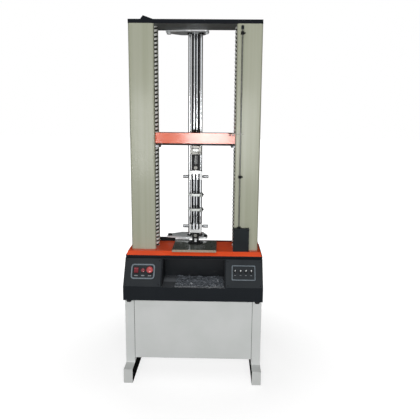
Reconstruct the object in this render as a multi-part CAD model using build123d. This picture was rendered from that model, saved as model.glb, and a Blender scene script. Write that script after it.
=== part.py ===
from build123d import *
import math
import os

# Universal testing machine on a floor stand, in millimetres.
# X runs to the right, Y to the back, Z up. The load line is X = 0, Y = 0, and the floor is Z = 0.

# Stand
stand_margin = 3.0            # console beyond the legs, each side
stand_height = 419.0          # floor to the console's underside
foot_length = 570.0
foot_height = 72.0
heel_height = 34.0            # rear end of each foot
foot_sheet = 3.0
leg_width = 45.0
leg_depth = 289.0
leg_reach = 209.0             # front of the legs, ahead of the load line
leg_sheet = 2.5
panel_clearance = 99.0        # floor to the panel's lower edge
panel_sheet = 2.0
panel_return = 18.0           # folded edge all round
panel_inset = 3.0             # panel behind the front of the legs
top_frame_height = 12.0
top_frame_bar = 60.0

# Console
console_margin = 8.0          # console beyond the table's top, each side
console_lead = 30.0           # front face ahead of the legs
console_tail = 30.0           # rear face behind the legs
console_face = 68.0           # upright face below the sloped panels
slope_rise = 127.0
slope_run = 83.0
neck_height = 13.0            # shadow gap below the table
neck_inset = 10.0
console_sheet = 2.5
console_floor = 4.0
pad_radius = 12.5             # rubber feet at the console's corners
pad_height = 12.0
pad_clearance = 1.5
pad_edge = 26.0               # pad centre from the console's side
tray_width = 316.0
tray_to_frame = 2.5           # tray's back wall to the base frame
tray_sheet = 2.5
seat_gap = 0.3                # between pieces that lie in one another

# Controls on the sloped panels
plate_sheet = 2.0
plate_margin = 4.0
control_row = 66.0            # from the slope's top edge, along the slope
rocker_edge = 60.0            # control centres from the console's side
lamp_edge = 94.0
stop_edge = 128.0
lever_edge = 138.0            # first of four levers
lever_pitch = 26.7
rocker_width = 21.0
rocker_length = 27.0
rocker_height = 5.0
rocker_pin = 2.0
rocker_pin_reach = 0.3
rocker_gap = 0.6
rocker_tilt_gap = 1.6         # room at the rocker's ends for its tilt
stem_radius = 7.0
stop_radius = 17.0
stop_height = 10.0
stop_travel = 4.0
stop_clear = 1.0              # cap above its collar when pressed
collar_height = 5.0
collar_wall = 5.0
lamp_radius = 9.0
lamp_height = 7.0
lamp_ring_wall = 2.2
ball_radius = 3.4             # of each lever, in its bush
ball_gap = 0.4
bush_radius = 5.5
bush_height = 8.0
ball_height = 5.0             # ball centre above the control plate
lever_length = 20.0
lever_radius = 1.5
lever_tip = 3.2
lever_pin = 1.2
lever_pin_reach = 0.2
sliding_gap = 0.2

# Table
table_edge = 17.0             # height of the bevelled edge
table_margin = 14.0           # table's top beyond the columns, each side
table_lead = 4.0              # skirt behind the slope's top edge
table_tail = 3.0              # skirt inside the console's back
bevel_side = 4.0
bevel_front = 25.0
bevel_back = 3.0
table_sheet = 3.0
base_plate_width = 224.0
base_plate_reach = 147.0
base_plate_back = 62.0
base_plate_thick = 12.0
fixture_pitch_x = 160.0       # four tapped holes in the base plate
fixture_pitch_y = 90.0
fixture_hole = 4.2
stud_radius = 6.5
flange_radius = 40.0
flange_height = 6.0
flange_lip = 4.0

# Base frame under the table
frame_margin = 15.0           # inside the table cover, each side
frame_depth = 110.0
frame_beam = 40.0
frame_side = 12.0
frame_side_inset = 8.0
frame_side_lead = 36.0        # side plates behind the console's neck
frame_side_tail = 10.0        # side plates inside the console's back
shelf_drop = 45.0             # below the beam
shelf_thick = 8.0
shelf_lead = 46.0             # shelf's front edge ahead of the motor axis
shaft_clear = 2.0

# Columns
test_width = 400.0            # clear width between the column covers
column_width = 124.0
column_depth = 184.0
column_height = 1113.0        # table top to the top cover
cover_sheet = 2.5
cover_lip = 25.0              # inner return beside the crosshead's slot
cover_round = 8.0
cover_seam = 1.0              # between front and rear covers
guide_radius = 20.0
guide_pitch = 61.0            # screw axis to guide column axis
top_cover_height = 19.0
top_cover_sheet = 3.0
cowl_width = 66.0
cowl_depth = 60.0
cowl_height = 18.0
cowl_peak = 14.0              # ridge from the cowl's left end
cowl_inset = 6.0

# Screw drive
screw_radius = 18.0
screw_inset = 11.0            # screw axis behind the covers' inner edge
journal_radius = 14.0
journal_drop = 41.0           # lower end below the beam
tail_radius = 10.0
tail_gap = 2.0
screw_clear = 4.0             # round the screw in the table cover
bearing_wall = 15.0
bearing_height = 34.0
tail_wall = 11.0
tail_bearing_height = 12.0
running_gap = 0.08
pulley_radius = 40.0
motor_pulley_radius = 20.0
pulley_height = 24.0
pulley_flange = 3.0
pulley_rim = 2.5
pulley_drop = 11.0            # top of the pulleys below the beam
belt_thick = 3.0
belt_gap = 0.3
motor_tail = 52.0             # motor axis ahead of the console's back
motor_radius = 38.0
motor_length = 98.0
motor_flange = 10.0
motor_flange_lip = 3.0
motor_shaft = 7.0

# Crosshead
crosshead_rise = 532.0        # table top to the beam's underside, at rest
beam_length = 604.0
beam_depth = 114.0
beam_height = 59.0
beam_wall = 14.0
beam_pocket = 44.0
pocket_from = 44.0            # solid middle, from the load line
hood_length = 412.0           # orange hood, reaching into the columns
hood_sheet = 2.7
hood_drop = 10.0              # dark strip of the beam that shows below it
nut_wall = 9.0
nut_gap = 0.5
nut_flange = 4.0
nut_flange_height = 12.0
nut_height = 52.0
bush_wall = 7.0
bush_gap = 0.3
bush_over = 11.0              # bush beyond the beam, above and below
bore_gap = 0.2

# Load string
cell_width = 56.0
cell_depth = 26.0
cell_height = 42.0
cell_boss = 6.0
cell_boss_radius = 9.0
cell_slot = 4.0
cell_slot_edge = 10.0
cell_web = 12.0
cell_stud = 6.5
joint_width = 42.0
lower_joint_width = 34.0
joint_depth = 36.0
joint_window = 16.0
joint_bridge = 6.0
joint_neck = 4.0              # between window and fork
window_height = 46.0
lower_slot = 22.0             # slot between the lower joint's feet
fork_height = 26.0
fork_slot = 18.0
fork_gap = 0.3
pin_radius = 7.0
pin_over = 3.0
tang_width = 28.0
tang_gap = 2.0
grip_width = 66.0
grip_depth = 40.0
grip_height = 47.0
grip_pocket = 44.0
grip_bridge = 17.0
grip_corner = 5.0
jaw_gap = 8.0                 # between the jaws, at rest
jaw_thick = 9.0
jaw_depth = 30.0
jaw_play = 0.4
jaw_closing = 3.7
spindle_radius = 6.0
spindle_gap = 0.3
knob_radius = 8.5
knob_length = 29.0
knob_clear = 0.8
knob_chamfer = 2.0

# Limit switch rod on the right column
rod_radius = 3.5
rod_forward = 12.0            # rod axis ahead of the covers
rod_offset = 26.0             # rod axis from the covers' inner edge
rod_end = 8.0                 # rod end below the top cover
rod_gap = 0.2
collar_radius = 8.0
rod_collar_height = 14.0
low_collar = 380.0            # collar centre above the table
high_collar = 45.0            # collar centre below the top cover
box_width = 80.0
box_depth = 33.0
box_height = 119.0
box_overhang = 3.0            # past the covers' inner edge
box_sheet = 2.5
box_rod_depth = 16.0
guide_block = 12.0
guide_block_height = 15.0
guide_block_drop = 27.0
striker_sheet = 3.0
striker_flange = 16.0
striker_foot = 28.0
striker_clear = 4.0           # ahead of the covers
striker_hole = 2.0            # round the rod
striker_rim = 8.0

# Extensometer behind the load line
pivot_inset = 53.0            # pivot axis from the left covers' inner edge
bracket_thick = 12.0
bracket_height = 14.0
bracket_length = 90.0         # along the rear cover
bracket_rise = 4.0            # lower bracket above the table
ledge_length = 107.0          # rest below the lower swing plate
ledge_depth = 28.0
eye_radius = 14.0
eye_gap = 0.5                 # eye behind the columns
pivot_radius = 6.0
knob_head = 10.0
knob_head_height = 9.0
swing_thick = 8.0
swing_gap = 0.5
swing_under = 2.0             # upper plate below the columns' top
swing_tip = 15.0
swing_front = 66.0            # outline of the swing plates, from the load line
swing_front_left = 57.0
swing_right = 61.0
swing_corner = 10.0
swing_waist = 120.0
swing_far = 195.0
swing_far_left = 88.0
swing_far_right = 34.0
swing_shoulder = 150.0
rail_shift = 9.0              # middle of the guide rods, left of the load line
rail_pitch = 60.0             # between the two guide rods
rail_radius = 8.0
rail_back = 112.0             # rod axes behind the load line
rail_gap = 0.1
channel_width = 42.0
channel_front = 126.0
channel_depth = 32.0
channel_sheet = 2.5
tube_radius = 6.0
tube_pitch = 16.0
tube_back = 137.0
carriage_height = 18.0
carriage_bar = 16.0
carriage_bar_height = 8.0
carriage_wall = 5.0
carriage_eye = 5.0            # height of the eye on the left rod
carriage_eye_wall = 3.0
low_carriage = 174.0          # carriage centres above the table
high_carriage = 256.0
arm_pivot_x = 34.0            # from the middle of the guide rods
arm_pivot_back = 80.0
arm_length = 70.0
arm_width = 10.0
arm_pin = 3.0
arm_hub = 7.0
arm_gap = 0.4
arm_tip = 3.0

# Levels and positions that follow from the sizes above
column_inner = test_width / 2
column_outer = column_inner + column_width
column_back = column_depth / 2
column_front = -column_back
table_half = column_outer + table_margin
console_half = table_half + console_margin
stand_width = 2 * (console_half - stand_margin)
leg_front = -leg_reach
leg_rear = leg_front + leg_depth
leg_top = stand_height - top_frame_height
leg_x = stand_width / 2 - leg_width / 2
console_front = leg_front - console_lead
console_back = leg_rear + console_tail
rocker_x = rocker_edge - console_half
lamp_x = lamp_edge - console_half
stop_x = stop_edge - console_half
lever_x = console_half - lever_edge
crease = stand_height + console_face
slope_y = console_front + slope_run
slope_z = crease + slope_rise
slope_length = math.hypot(slope_rise, slope_run)
neck_y = slope_y + neck_inset
tray_back = frame_depth / 2 + tray_to_frame + tray_sheet
table_under = slope_z + neck_height
table_top = table_under + table_edge
column_top = table_top + column_height
table_front = slope_y + table_lead + bevel_front
table_back = console_back - table_tail - bevel_back
frame_half = table_half - table_sheet - frame_margin
motor_back = console_back - motor_tail
frame_top = table_top - table_sheet
frame_under = frame_top - frame_beam
screw_x = column_inner + screw_inset
guide_x = screw_x + guide_pitch
bearing_radius = journal_radius + running_gap + bearing_wall
tail_bearing = tail_radius + running_gap + tail_wall
beam_under = table_top + crosshead_rise
beam_top = beam_under + beam_height
hood_depth = beam_depth + 2 * (hood_sheet + seat_gap)
hood_top = beam_top + seat_gap + hood_sheet
nut_radius = screw_radius + nut_gap + nut_wall
bush_outer = guide_radius + bush_gap + bush_wall
base_top = table_top + base_plate_thick


def block(xs, ys, zs):
    """Box between two corners."""
    size = [high - low for low, high in (xs, ys, zs)]
    middle = [(low + high) / 2 for low, high in (xs, ys, zs)]
    return Pos(*middle) * Box(*size)


def post(x, y, zs, radius):
    """Upright cylinder."""
    return Pos(x, y, sum(zs) / 2) * Cylinder(radius, zs[1] - zs[0])


def ring(x, y, zs, outer, inner):
    """Upright tube."""
    return post(x, y, zs, outer) - post(x, y, zs, inner)


def plan(points, zs):
    """Outline in X and Y, raised along Z."""
    face = make_face(Polyline(*points, close=True))
    return extrude(Plane.XY.offset(zs[0]) * face, amount=zs[1] - zs[0])


def side(points, xs):
    """Outline in Y and Z, drawn along X."""
    face = make_face(Polyline(*points, close=True))
    return extrude(Plane.YZ.offset(xs[0]) * face, amount=xs[1] - xs[0])


def front(points, ys):
    """Outline in X and Z, drawn along Y."""
    face = make_face(Polyline(*points, close=True))
    return extrude(Plane.XZ.offset(-ys[1]) * face, amount=ys[1] - ys[0])


def turned(points):
    """Outline in radius and Z, turned about the Z axis."""
    return revolve(Plane.XZ * make_face(Polyline(*points, close=True)), Axis.Z)


def group(*shapes):
    """Separate solids kept together."""
    return Compound([solid for shape in shapes for solid in shape.solids()])


def pair(shape):
    """A piece on the right and its mirror image on the left."""
    return group(shape, mirror(shape, about=Plane.YZ))


def slope_plane(x, along, above=0.0):
    """Plane on the console's sloped front: local Y runs up the slope, local Z out of it."""
    run, rise = slope_run / slope_length, slope_rise / slope_length
    origin = (x, slope_y - along * run - above * rise, slope_z - along * rise + above * run)
    return Plane(origin=origin, x_dir=(1, 0, 0), z_dir=(0, -rise, run))


# Stand

def stand_feet():
    half = foot_length / 2
    outline = [(-half, 0), (half, 0), (half, heel_height), (leg_rear, foot_height), (-half, foot_height)]
    x0, x1 = leg_x - leg_width / 2, leg_x + leg_width / 2
    face = offset(make_face(Polyline(*outline, close=True)), amount=-foot_sheet)
    hollow = extrude(Plane.YZ.offset(x0 + foot_sheet) * face, amount=leg_width - 2 * foot_sheet)
    foot = side(outline, (x0, x1)) - hollow - Pos(0, 0, -2 * foot_sheet) * hollow
    return pair(foot)


def stand_legs():
    xs = (leg_x - leg_width / 2, leg_x + leg_width / 2)
    zs = (foot_height, leg_top)
    inner = block((xs[0] + leg_sheet, xs[1] - leg_sheet), (leg_front + leg_sheet, leg_rear - leg_sheet), zs)
    return pair(block(xs, (leg_front, leg_rear), zs) - inner)


def stand_panel():
    half = stand_width / 2 - leg_width
    face = leg_front + panel_inset
    pan = block((-half, half), (face, face + panel_return), (panel_clearance, leg_top))
    hollow_x = (-half + panel_sheet, half - panel_sheet)
    hollow_z = (panel_clearance + panel_sheet, leg_top - panel_sheet)
    return pan - block(hollow_x, (face + panel_sheet, face + 2 * panel_return), hollow_z)


def stand_top_frame():
    half = stand_width / 2
    zs = (leg_top, stand_height)
    opening_x = (-half + top_frame_bar, half - top_frame_bar)
    opening = block(opening_x, (leg_front + top_frame_bar, leg_rear - top_frame_bar), zs)
    return block((-half, half), (leg_front, leg_rear), zs) - opening


# Console

def machine_feet():
    low = stand_height - pad_height
    foot = turned([(0, low), (pad_radius * 0.8, low), (pad_radius, low + pad_height * 0.3),
                   (pad_radius, stand_height), (0, stand_height)])
    x = console_half - pad_edge
    away = pad_radius + pad_clearance
    spots = [(sx * x, y) for sx in (-1, 1) for y in (leg_front - away, leg_rear + away)]
    return group(*[Pos(px, py, 0) * foot for px, py in spots])


def console_base():
    edge = console_sheet + seat_gap
    half = console_half - edge
    return block((-half, half), (console_front + edge, console_back - edge),
                 (stand_height, stand_height + console_floor))


def control_holes():
    """Holes through the control plates and the console's sheet behind them."""
    depth = 4 * (plate_sheet + console_sheet)
    window = Box(rocker_width + 2 * rocker_gap, rocker_length + 2 * rocker_tilt_gap, depth)
    holes = [slope_plane(rocker_x, control_row) * window,
             slope_plane(lamp_x, control_row) * Cylinder(lamp_radius, depth),
             slope_plane(stop_x, control_row) * Cylinder(stem_radius + sliding_gap, depth)]
    return holes


def console_shell():
    outline = [(console_front, stand_height), (console_front, crease), (slope_y, slope_z), (neck_y, slope_z),
               (neck_y, table_under), (console_back, table_under), (console_back, stand_height)]
    outer = side(outline, (-console_half, console_half))
    face = offset(make_face(Polyline(*outline, close=True)), amount=-console_sheet)
    half = console_half - console_sheet
    hollow = extrude(Plane.YZ.offset(-half) * face, amount=2 * half)
    floor_y = (console_front + console_sheet, console_back - console_sheet)
    floor_hole = block((-half, half), floor_y, (stand_height, stand_height + 2 * console_sheet))
    roof_y = (neck_y + console_sheet, console_back - console_sheet)
    roof_hole = block((-half, half), roof_y, (table_under - 2 * console_sheet, table_under))
    mouth_half = tray_width / 2 + seat_gap
    mouth_x = (-mouth_half, mouth_half)
    mouth_back = slope_y + 2 * console_sheet
    mouth = block(mouth_x, (console_front, mouth_back), (crease, slope_z - console_sheet))
    mouth += block(mouth_x, (console_front + console_sheet, mouth_back), (crease - console_sheet, crease))
    shell = outer - hollow - floor_hole - roof_hole - mouth
    for hole in control_holes():
        shell -= hole
    return shell


def tray_liner():
    """Open-fronted pocket whose front edge follows the slope."""
    lead = console_front + console_sheet + seat_gap
    roof = slope_z - console_sheet - seat_gap
    ratio = slope_run / slope_rise
    back = -tray_back + tray_sheet
    lip = crease + (console_sheet + seat_gap) / ratio
    slope_lead = seat_gap + console_front + (roof - crease) * ratio
    outline = [(lead, crease - tray_sheet), (back, crease - tray_sheet), (back, roof),
               (slope_lead, roof), (lead, lip)]
    half = tray_width / 2
    pocket = block((-half + tray_sheet, half - tray_sheet), (console_front, -tray_back),
                   (crease, roof - tray_sheet))
    return side(outline, (-half, half)) - pocket


def control_panels():
    x0 = tray_width / 2 + seat_gap + plate_margin
    x1 = console_half - plate_margin
    plate = Pos(0, 0, plate_sheet / 2) * Box(x1 - x0, slope_length - 2 * plate_margin, plate_sheet)
    middle = (x0 + x1) / 2
    left = slope_plane(-middle, slope_length / 2) * plate
    right = slope_plane(middle, slope_length / 2) * plate
    for hole in control_holes():
        left -= hole
    return group(left, right)


def lever_spots():
    return [lever_x + index * lever_pitch for index in range(4)]


def control_bushes():
    """Round fittings that stand on the control plates."""
    socket = Pos(0, 0, ball_height) * Sphere(ball_radius + ball_gap)
    bush = Pos(0, 0, bush_height / 2) * Cylinder(bush_radius, bush_height) - socket
    bushes = [slope_plane(x, control_row, plate_sheet) * bush for x in lever_spots()]
    bore = stem_radius + sliding_gap
    collar = ring(0, 0, (0, collar_height), bore + collar_wall, bore)
    lamp_ring = ring(0, 0, (0, lamp_height / 2), lamp_radius + lamp_ring_wall, lamp_radius)
    return group(*bushes, slope_plane(stop_x, control_row, plate_sheet) * collar,
                 slope_plane(lamp_x, control_row, plate_sheet) * lamp_ring)


def pilot_lamp():
    radius = lamp_radius - sliding_gap
    lens = Cylinder(radius, lamp_height * 2) - Pos(0, 0, -lamp_height * 1.5) * Cylinder(radius, lamp_height)
    crown = lens.edges().filter_by(GeomType.CIRCLE).sort_by(Axis.Z)[-1]
    lens = fillet(crown, radius * 0.6)
    return slope_plane(lamp_x, control_row, plate_sheet) * lens


def power_rocker():
    """See-saw key: a shallow V on top, its pivot in the plane of the console's sheet."""
    half = rocker_length / 2
    outline = [(-half, -plate_sheet), (0, -2 * plate_sheet), (half, -plate_sheet),
               (half, plate_sheet + rocker_height), (0, plate_sheet + rocker_height * 0.5),
               (-half, plate_sheet + rocker_height)]
    key = side(outline, (-rocker_width / 2, rocker_width / 2))
    key += Cylinder(rocker_pin, rocker_width + 2 * rocker_pin_reach, rotation=(0, 90, 0))
    return slope_plane(rocker_x, control_row) * key


def stop_button():
    low = collar_height + stop_travel + stop_clear
    tail = -2 * stop_travel
    cap = turned([(0, tail), (stem_radius, tail), (stem_radius, low), (stop_radius, low),
                  (stop_radius, low + stop_height * 0.6), (stop_radius * 0.7, low + stop_height),
                  (0, low + stop_height)])
    return slope_plane(stop_x, control_row, plate_sheet) * cap


def toggle_lever(x):
    bat_low = ball_radius * 0.8
    bat = turned([(0, bat_low), (lever_radius, bat_low), (lever_tip, lever_length - lever_tip),
                  (lever_tip * 0.7, lever_length), (0, lever_length)])
    pin = Cylinder(lever_pin, 2 * (ball_radius + lever_pin_reach), rotation=(0, 90, 0))
    return slope_plane(x, control_row, plate_sheet + ball_height) * (Sphere(ball_radius) + bat + pin)


# Table and base frame

def column_spots(x):
    return [(-x, 0), (x, 0)]


def table_cover():
    """Pressed cover with a bevelled skirt on every side."""
    def outline(spread_x, lead, tail, level):
        half = table_half + spread_x
        corners = [(-half, table_front - lead), (half, table_front - lead), (half, table_back + tail),
                   (-half, table_back + tail)]
        return Plane.XY.offset(level) * make_face(Polyline(*corners, close=True))

    def slab(grow, zs):
        low = outline(bevel_side + grow, bevel_front + grow, bevel_back + grow, zs[0])
        return loft([low, outline(grow, grow, grow, zs[1])])

    cover = slab(0, (table_under, table_top)) - slab(-table_sheet, (table_under, frame_top))
    for x, y in column_spots(screw_x):
        cover -= post(x, y, (table_under, table_top), screw_radius + screw_clear)
    for x, y in column_spots(guide_x):
        cover -= post(x, y, (table_under, table_top), guide_radius + seat_gap)
    return cover


def base_plate():
    half = base_plate_width / 2
    plate = block((-half, half), (-base_plate_reach, base_plate_back), (table_top, base_top))
    middle = (base_plate_back - base_plate_reach) / 2
    for sx in (-1, 1):
        for sy in (-1, 1):
            spot = (sx * fixture_pitch_x / 2, middle + sy * fixture_pitch_y / 2)
            plate -= post(*spot, (table_top, base_top), fixture_hole)
    return plate


def base_frame():
    """Bearing beam with two side plates and the motor's shelf."""
    half = frame_half
    beam = block((-half, half), (-frame_depth / 2, frame_depth / 2), (frame_under, frame_top))
    for x, y in column_spots(screw_x):
        beam -= post(x, y, (frame_under, frame_top), bearing_radius + running_gap)
    outer = half - frame_side_inset
    inner = outer - frame_side
    low = stand_height + console_floor
    shelf_top = frame_under - shelf_drop
    side_y = (neck_y + frame_side_lead, console_back - frame_side_tail)
    shelf_z = (shelf_top - shelf_thick, shelf_top)
    shelf = block((-inner, inner), (motor_back - shelf_lead, side_y[1]), shelf_z)
    shelf -= post(0, motor_back, shelf_z, motor_shaft + shaft_clear)
    frame = beam + shelf
    for xs in ((-outer, -inner), (inner, outer)):
        frame += block(xs, side_y, (low, frame_under))
    return frame


# Columns and top

def column_cover():
    """Right front cover: front face, outer side and a narrow inner return."""
    reach = (column_front, -cover_seam / 2)
    depth = reach[1] - reach[0]
    middle = ((column_inner + column_outer) / 2, sum(reach) / 2)

    def rounded(width, height, radius, shift):
        face = Pos(middle[0], middle[1] + shift) * Rectangle(width, height)
        corners = face.vertices().sort_by(Axis.Y)[:2]
        return fillet(corners, radius)

    outer = rounded(column_width, depth, cover_round, 0)
    inner = rounded(column_width - 2 * cover_sheet, depth, cover_round - cover_sheet, cover_sheet)
    slot_depth = column_back - cover_lip
    slot = Pos(column_inner, -slot_depth / 2) * Rectangle(4 * cover_sheet, slot_depth)
    return extrude(Plane.XY.offset(table_top) * (outer - inner - slot), amount=column_height)


def front_covers():
    return pair(column_cover())


def rear_covers():
    return pair(mirror(column_cover(), about=Plane.XZ))


def guide_columns():
    return pair(post(guide_x, 0, (frame_top, column_top), guide_radius))


def top_beam():
    edge = top_cover_sheet + seat_gap
    half = column_outer - edge
    beam = block((-half, half), (column_front + edge, column_back - edge),
                 (column_top, column_top + top_cover_height - top_cover_sheet))
    for x, y in column_spots(screw_x):
        beam -= post(x, y, (column_top, column_top + tail_bearing_height), tail_bearing + running_gap)
    return beam


def top_cover():
    """Shallow pan over the top beam, with a small cowl."""
    roof = column_top + top_cover_height
    inner_x = column_outer - top_cover_sheet
    inner_y = column_back - top_cover_sheet
    pan = block((-column_outer, column_outer), (column_front, column_back), (column_top, roof))
    pan -= block((-inner_x, inner_x), (-inner_y, inner_y), (column_top, roof - top_cover_sheet))
    left = -column_inner - cowl_width
    cowl = front([(left, roof), (left + cowl_width, roof), (left + cowl_peak, roof + cowl_height)],
                 (column_front + cowl_inset, column_front + cowl_inset + cowl_depth))
    return pan + cowl


# Screw drive

def pulley(x, y, bore, radius):
    """Flanged pulley whose rim leaves room for the belt."""
    high = frame_under - pulley_drop
    low = high - pulley_height
    rim = radius + pulley_flange
    wheel = turned([(bore, low), (rim, low), (rim, low + pulley_rim), (radius, low + pulley_rim),
                    (radius, high - pulley_rim), (rim, high - pulley_rim), (rim, high), (bore, high)])
    return Pos(x, y, 0) * wheel


def screw(x):
    """Ball screw with a lower journal and an upper tail, and the pulley on its journal."""
    low = frame_under - journal_drop
    shoulder = frame_top + seat_gap
    neck = column_top - seat_gap
    tail = column_top + tail_bearing_height - seat_gap
    shaft = turned([(0, low), (journal_radius, low), (journal_radius, shoulder), (screw_radius, shoulder),
                    (screw_radius, neck), (tail_radius, neck), (tail_radius, tail), (0, tail)])
    return group(Pos(x, 0, 0) * shaft, pulley(x, 0, journal_radius + running_gap, pulley_radius))


def screw_bearings():
    low = pair(ring(screw_x, 0, (frame_top - bearing_height, frame_top), bearing_radius,
                    journal_radius + running_gap))
    high = pair(ring(screw_x, 0, (column_top, column_top + tail_bearing_height), tail_bearing,
                     tail_radius + running_gap))
    return group(low, high)


def belt_loop(grow):
    """Tight loop round the three pulleys."""
    circles = [Pos(x, 0) * Circle(pulley_radius + grow) for x in (-screw_x, screw_x)]
    circles.append(Pos(0, motor_back) * Circle(motor_pulley_radius + grow))
    return make_hull([edge for circle in circles for edge in circle.edges()])


def drive_belt():
    rim = pulley_rim + belt_gap
    high = frame_under - pulley_drop - rim
    low = frame_under - pulley_drop - pulley_height + rim
    loop = belt_loop(belt_gap + belt_thick) - belt_loop(belt_gap)
    return extrude(Plane.XY.offset(low) * loop, amount=high - low)


def drive_motor():
    high = frame_under - shelf_drop - shelf_thick
    size = 2 * (motor_radius + motor_flange_lip)
    body = post(0, motor_back, (high - motor_length, high - motor_flange), motor_radius)
    flange_y = (motor_back - size / 2, motor_back + size / 2)
    body += block((-size / 2, size / 2), flange_y, (high - motor_flange, high))
    bore = post(0, motor_back, (high - 2 * motor_flange, high), motor_shaft + running_gap)
    return body - bore


def motor_pulley():
    low = frame_under - shelf_drop - shelf_thick - motor_flange
    high = frame_under - pulley_drop + seat_gap
    return post(0, motor_back, (low, high), motor_shaft) + pulley(0, motor_back, 0, motor_pulley_radius)


# Crosshead

def crosshead_beam():
    """Beam with a solid middle, two pockets and bored ends."""
    half = beam_length / 2
    depth = beam_depth / 2
    beam = block((-half, half), (-depth, depth), (beam_under, beam_top))
    pocket_end = screw_x - nut_radius - beam_wall
    pocket_z = (beam_top - beam_pocket, beam_top)
    for xs in ((-pocket_end, -pocket_from), (pocket_from, pocket_end)):
        beam -= block(xs, (-depth + beam_wall, depth - beam_wall), pocket_z)
    for x, y in column_spots(screw_x):
        beam -= post(x, y, (beam_under, beam_top), nut_radius + bore_gap)
    for x, y in column_spots(guide_x):
        beam -= post(x, y, (beam_under, beam_top), bush_outer + bore_gap)
    return beam


def crosshead_cover():
    outer = hood_depth / 2
    inner = outer - hood_sheet
    low = beam_under + hood_drop
    outline = [(-outer, low), (-outer, hood_top), (outer, hood_top), (outer, low), (inner, low),
               (inner, beam_top + seat_gap), (-inner, beam_top + seat_gap), (-inner, low)]
    hood = side(outline, (-hood_length / 2, hood_length / 2))
    for x, y in column_spots(screw_x):
        hood -= post(x, y, (beam_top, hood_top), nut_radius + bore_gap)
    return hood


def nuts_and_bushes():
    bore = screw_radius + nut_gap
    rim = nut_radius + nut_flange
    low = beam_under - nut_flange_height
    nut = turned([(bore, low), (rim, low), (rim, beam_under), (nut_radius, beam_under),
                  (nut_radius, beam_under + nut_height), (bore, beam_under + nut_height)])
    bush_z = (beam_under - bush_over, beam_top + bush_over)
    bush = ring(guide_x, 0, bush_z, bush_outer, guide_radius + bush_gap)
    return group(pair(Pos(screw_x, 0, 0) * nut), pair(bush))


def load_cell():
    """S-shaped load cell with a boss above and a stud below."""
    high = beam_under - cell_boss
    low = high - cell_height
    half = cell_width / 2
    web = half - cell_web
    upper = high - cell_slot_edge
    lower = low + cell_slot_edge
    outline = [(half, low), (-half, low), (-half, upper - cell_slot), (web, upper - cell_slot),
               (web, upper), (-half, upper), (-half, high), (half, high), (half, lower + cell_slot),
               (-web, lower + cell_slot), (-web, lower), (half, lower)]
    cell = front(outline, (-cell_depth / 2, cell_depth / 2))
    cell += post(0, 0, (high, beam_under), cell_boss_radius)
    stud_end = low - joint_bridge - window_height + seat_gap
    return cell + post(0, 0, (stud_end, low), cell_stud)


def joint_body(width, zs, slot_z, pin_z):
    """Joint with a slot for the grip's tang and a cross hole for the pin."""
    half = width / 2
    depth = joint_depth / 2
    body = block((-half, half), (-depth, depth), zs)
    body -= block((-half, half), (-fork_slot / 2, fork_slot / 2), slot_z)
    hole = Cylinder(pin_radius + running_gap, joint_depth, rotation=(90, 0, 0))
    return body - Pos(0, 0, pin_z) * hole


joint_top = beam_under - cell_boss - cell_height
upper_window = (joint_top - joint_bridge - window_height, joint_top - joint_bridge)
joint_low = upper_window[0] - joint_neck - fork_height
upper_pin = joint_low + fork_height / 2
grip_top = joint_low - tang_gap
flange_top = base_top + flange_height
lower_slot_top = flange_top + lower_slot
lower_joint_high = lower_slot_top + joint_neck + fork_height
lower_pin = lower_joint_high - fork_height / 2
lower_grip_low = lower_joint_high + tang_gap


def upper_joint():
    """Joint with a window that shows the load cell's stud."""
    slot = (joint_low, joint_low + fork_height)
    depth = joint_depth / 2
    body = joint_body(joint_width, (joint_low, joint_top), slot, upper_pin)
    body -= block((-joint_window / 2, joint_window / 2), (-depth, depth), upper_window)
    return body - post(0, 0, (upper_window[1], joint_top), cell_stud + fork_gap)


def lower_joint():
    """Joint that stands on the flange with two feet, one on each side of the stud."""
    slot = (lower_joint_high - fork_height, lower_joint_high)
    depth = joint_depth / 2
    body = joint_body(lower_joint_width, (flange_top, lower_joint_high), slot, lower_pin)
    return body - block((-joint_window / 2, joint_window / 2), (-depth, depth), (flange_top, lower_slot_top))


def grip_body(low, opens_down, pin_z):
    """U-shaped grip body with a tang, screw holes in its walls and the joint's pin."""
    half = grip_width / 2
    pocket = grip_pocket / 2
    mouth, closed = (0, grip_height) if opens_down else (grip_height, 0)
    inward = 1 if opens_down else -1
    shoulder = closed - inward * grip_corner
    roof = closed - inward * grip_bridge
    outline = [(-half, mouth), (-pocket, mouth), (-pocket, roof), (pocket, roof), (pocket, mouth),
               (half, mouth), (half, shoulder), (half - grip_corner, closed), (-half + grip_corner, closed),
               (-half, shoulder)]
    body = front([(x, low + z) for x, z in outline], (-grip_depth / 2, grip_depth / 2))
    tang_depth = fork_slot / 2 - fork_gap
    tang_reach = tang_gap + fork_height - fork_gap
    tang_z = (low + grip_height, low + grip_height + tang_reach) if opens_down else (low - tang_reach, low)
    body += block((-tang_width / 2, tang_width / 2), (-tang_depth, tang_depth), tang_z)
    hole = Cylinder(spindle_radius + spindle_gap, grip_width, rotation=(0, 90, 0))
    body -= Pos(0, 0, low + spindle_level(opens_down)) * hole
    pin_hole = Cylinder(pin_radius + running_gap, joint_depth, rotation=(90, 0, 0))
    pin = Cylinder(pin_radius, joint_depth + 2 * pin_over, rotation=(90, 0, 0))
    return group(body - Pos(0, 0, pin_z) * pin_hole, Pos(0, 0, pin_z) * pin)


def spindle_level(opens_down):
    """Height of the grip screws above the grip's lower face."""
    middle = (grip_height - grip_bridge) / 2
    return middle if opens_down else grip_height - middle


def jaw(low, opens_down, hand):
    """Jaw block in the grip's pocket; hand is -1 on the left and 1 on the right."""
    tall = grip_height - grip_bridge
    zs = (low + jaw_play, low + tall - jaw_play)
    if not opens_down:
        zs = (low + grip_bridge + jaw_play, low + grip_height - jaw_play)
    xs = sorted((hand * jaw_gap / 2, hand * (jaw_gap / 2 + jaw_thick)))
    return block(xs, (-jaw_depth / 2, jaw_depth / 2), zs)


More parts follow.
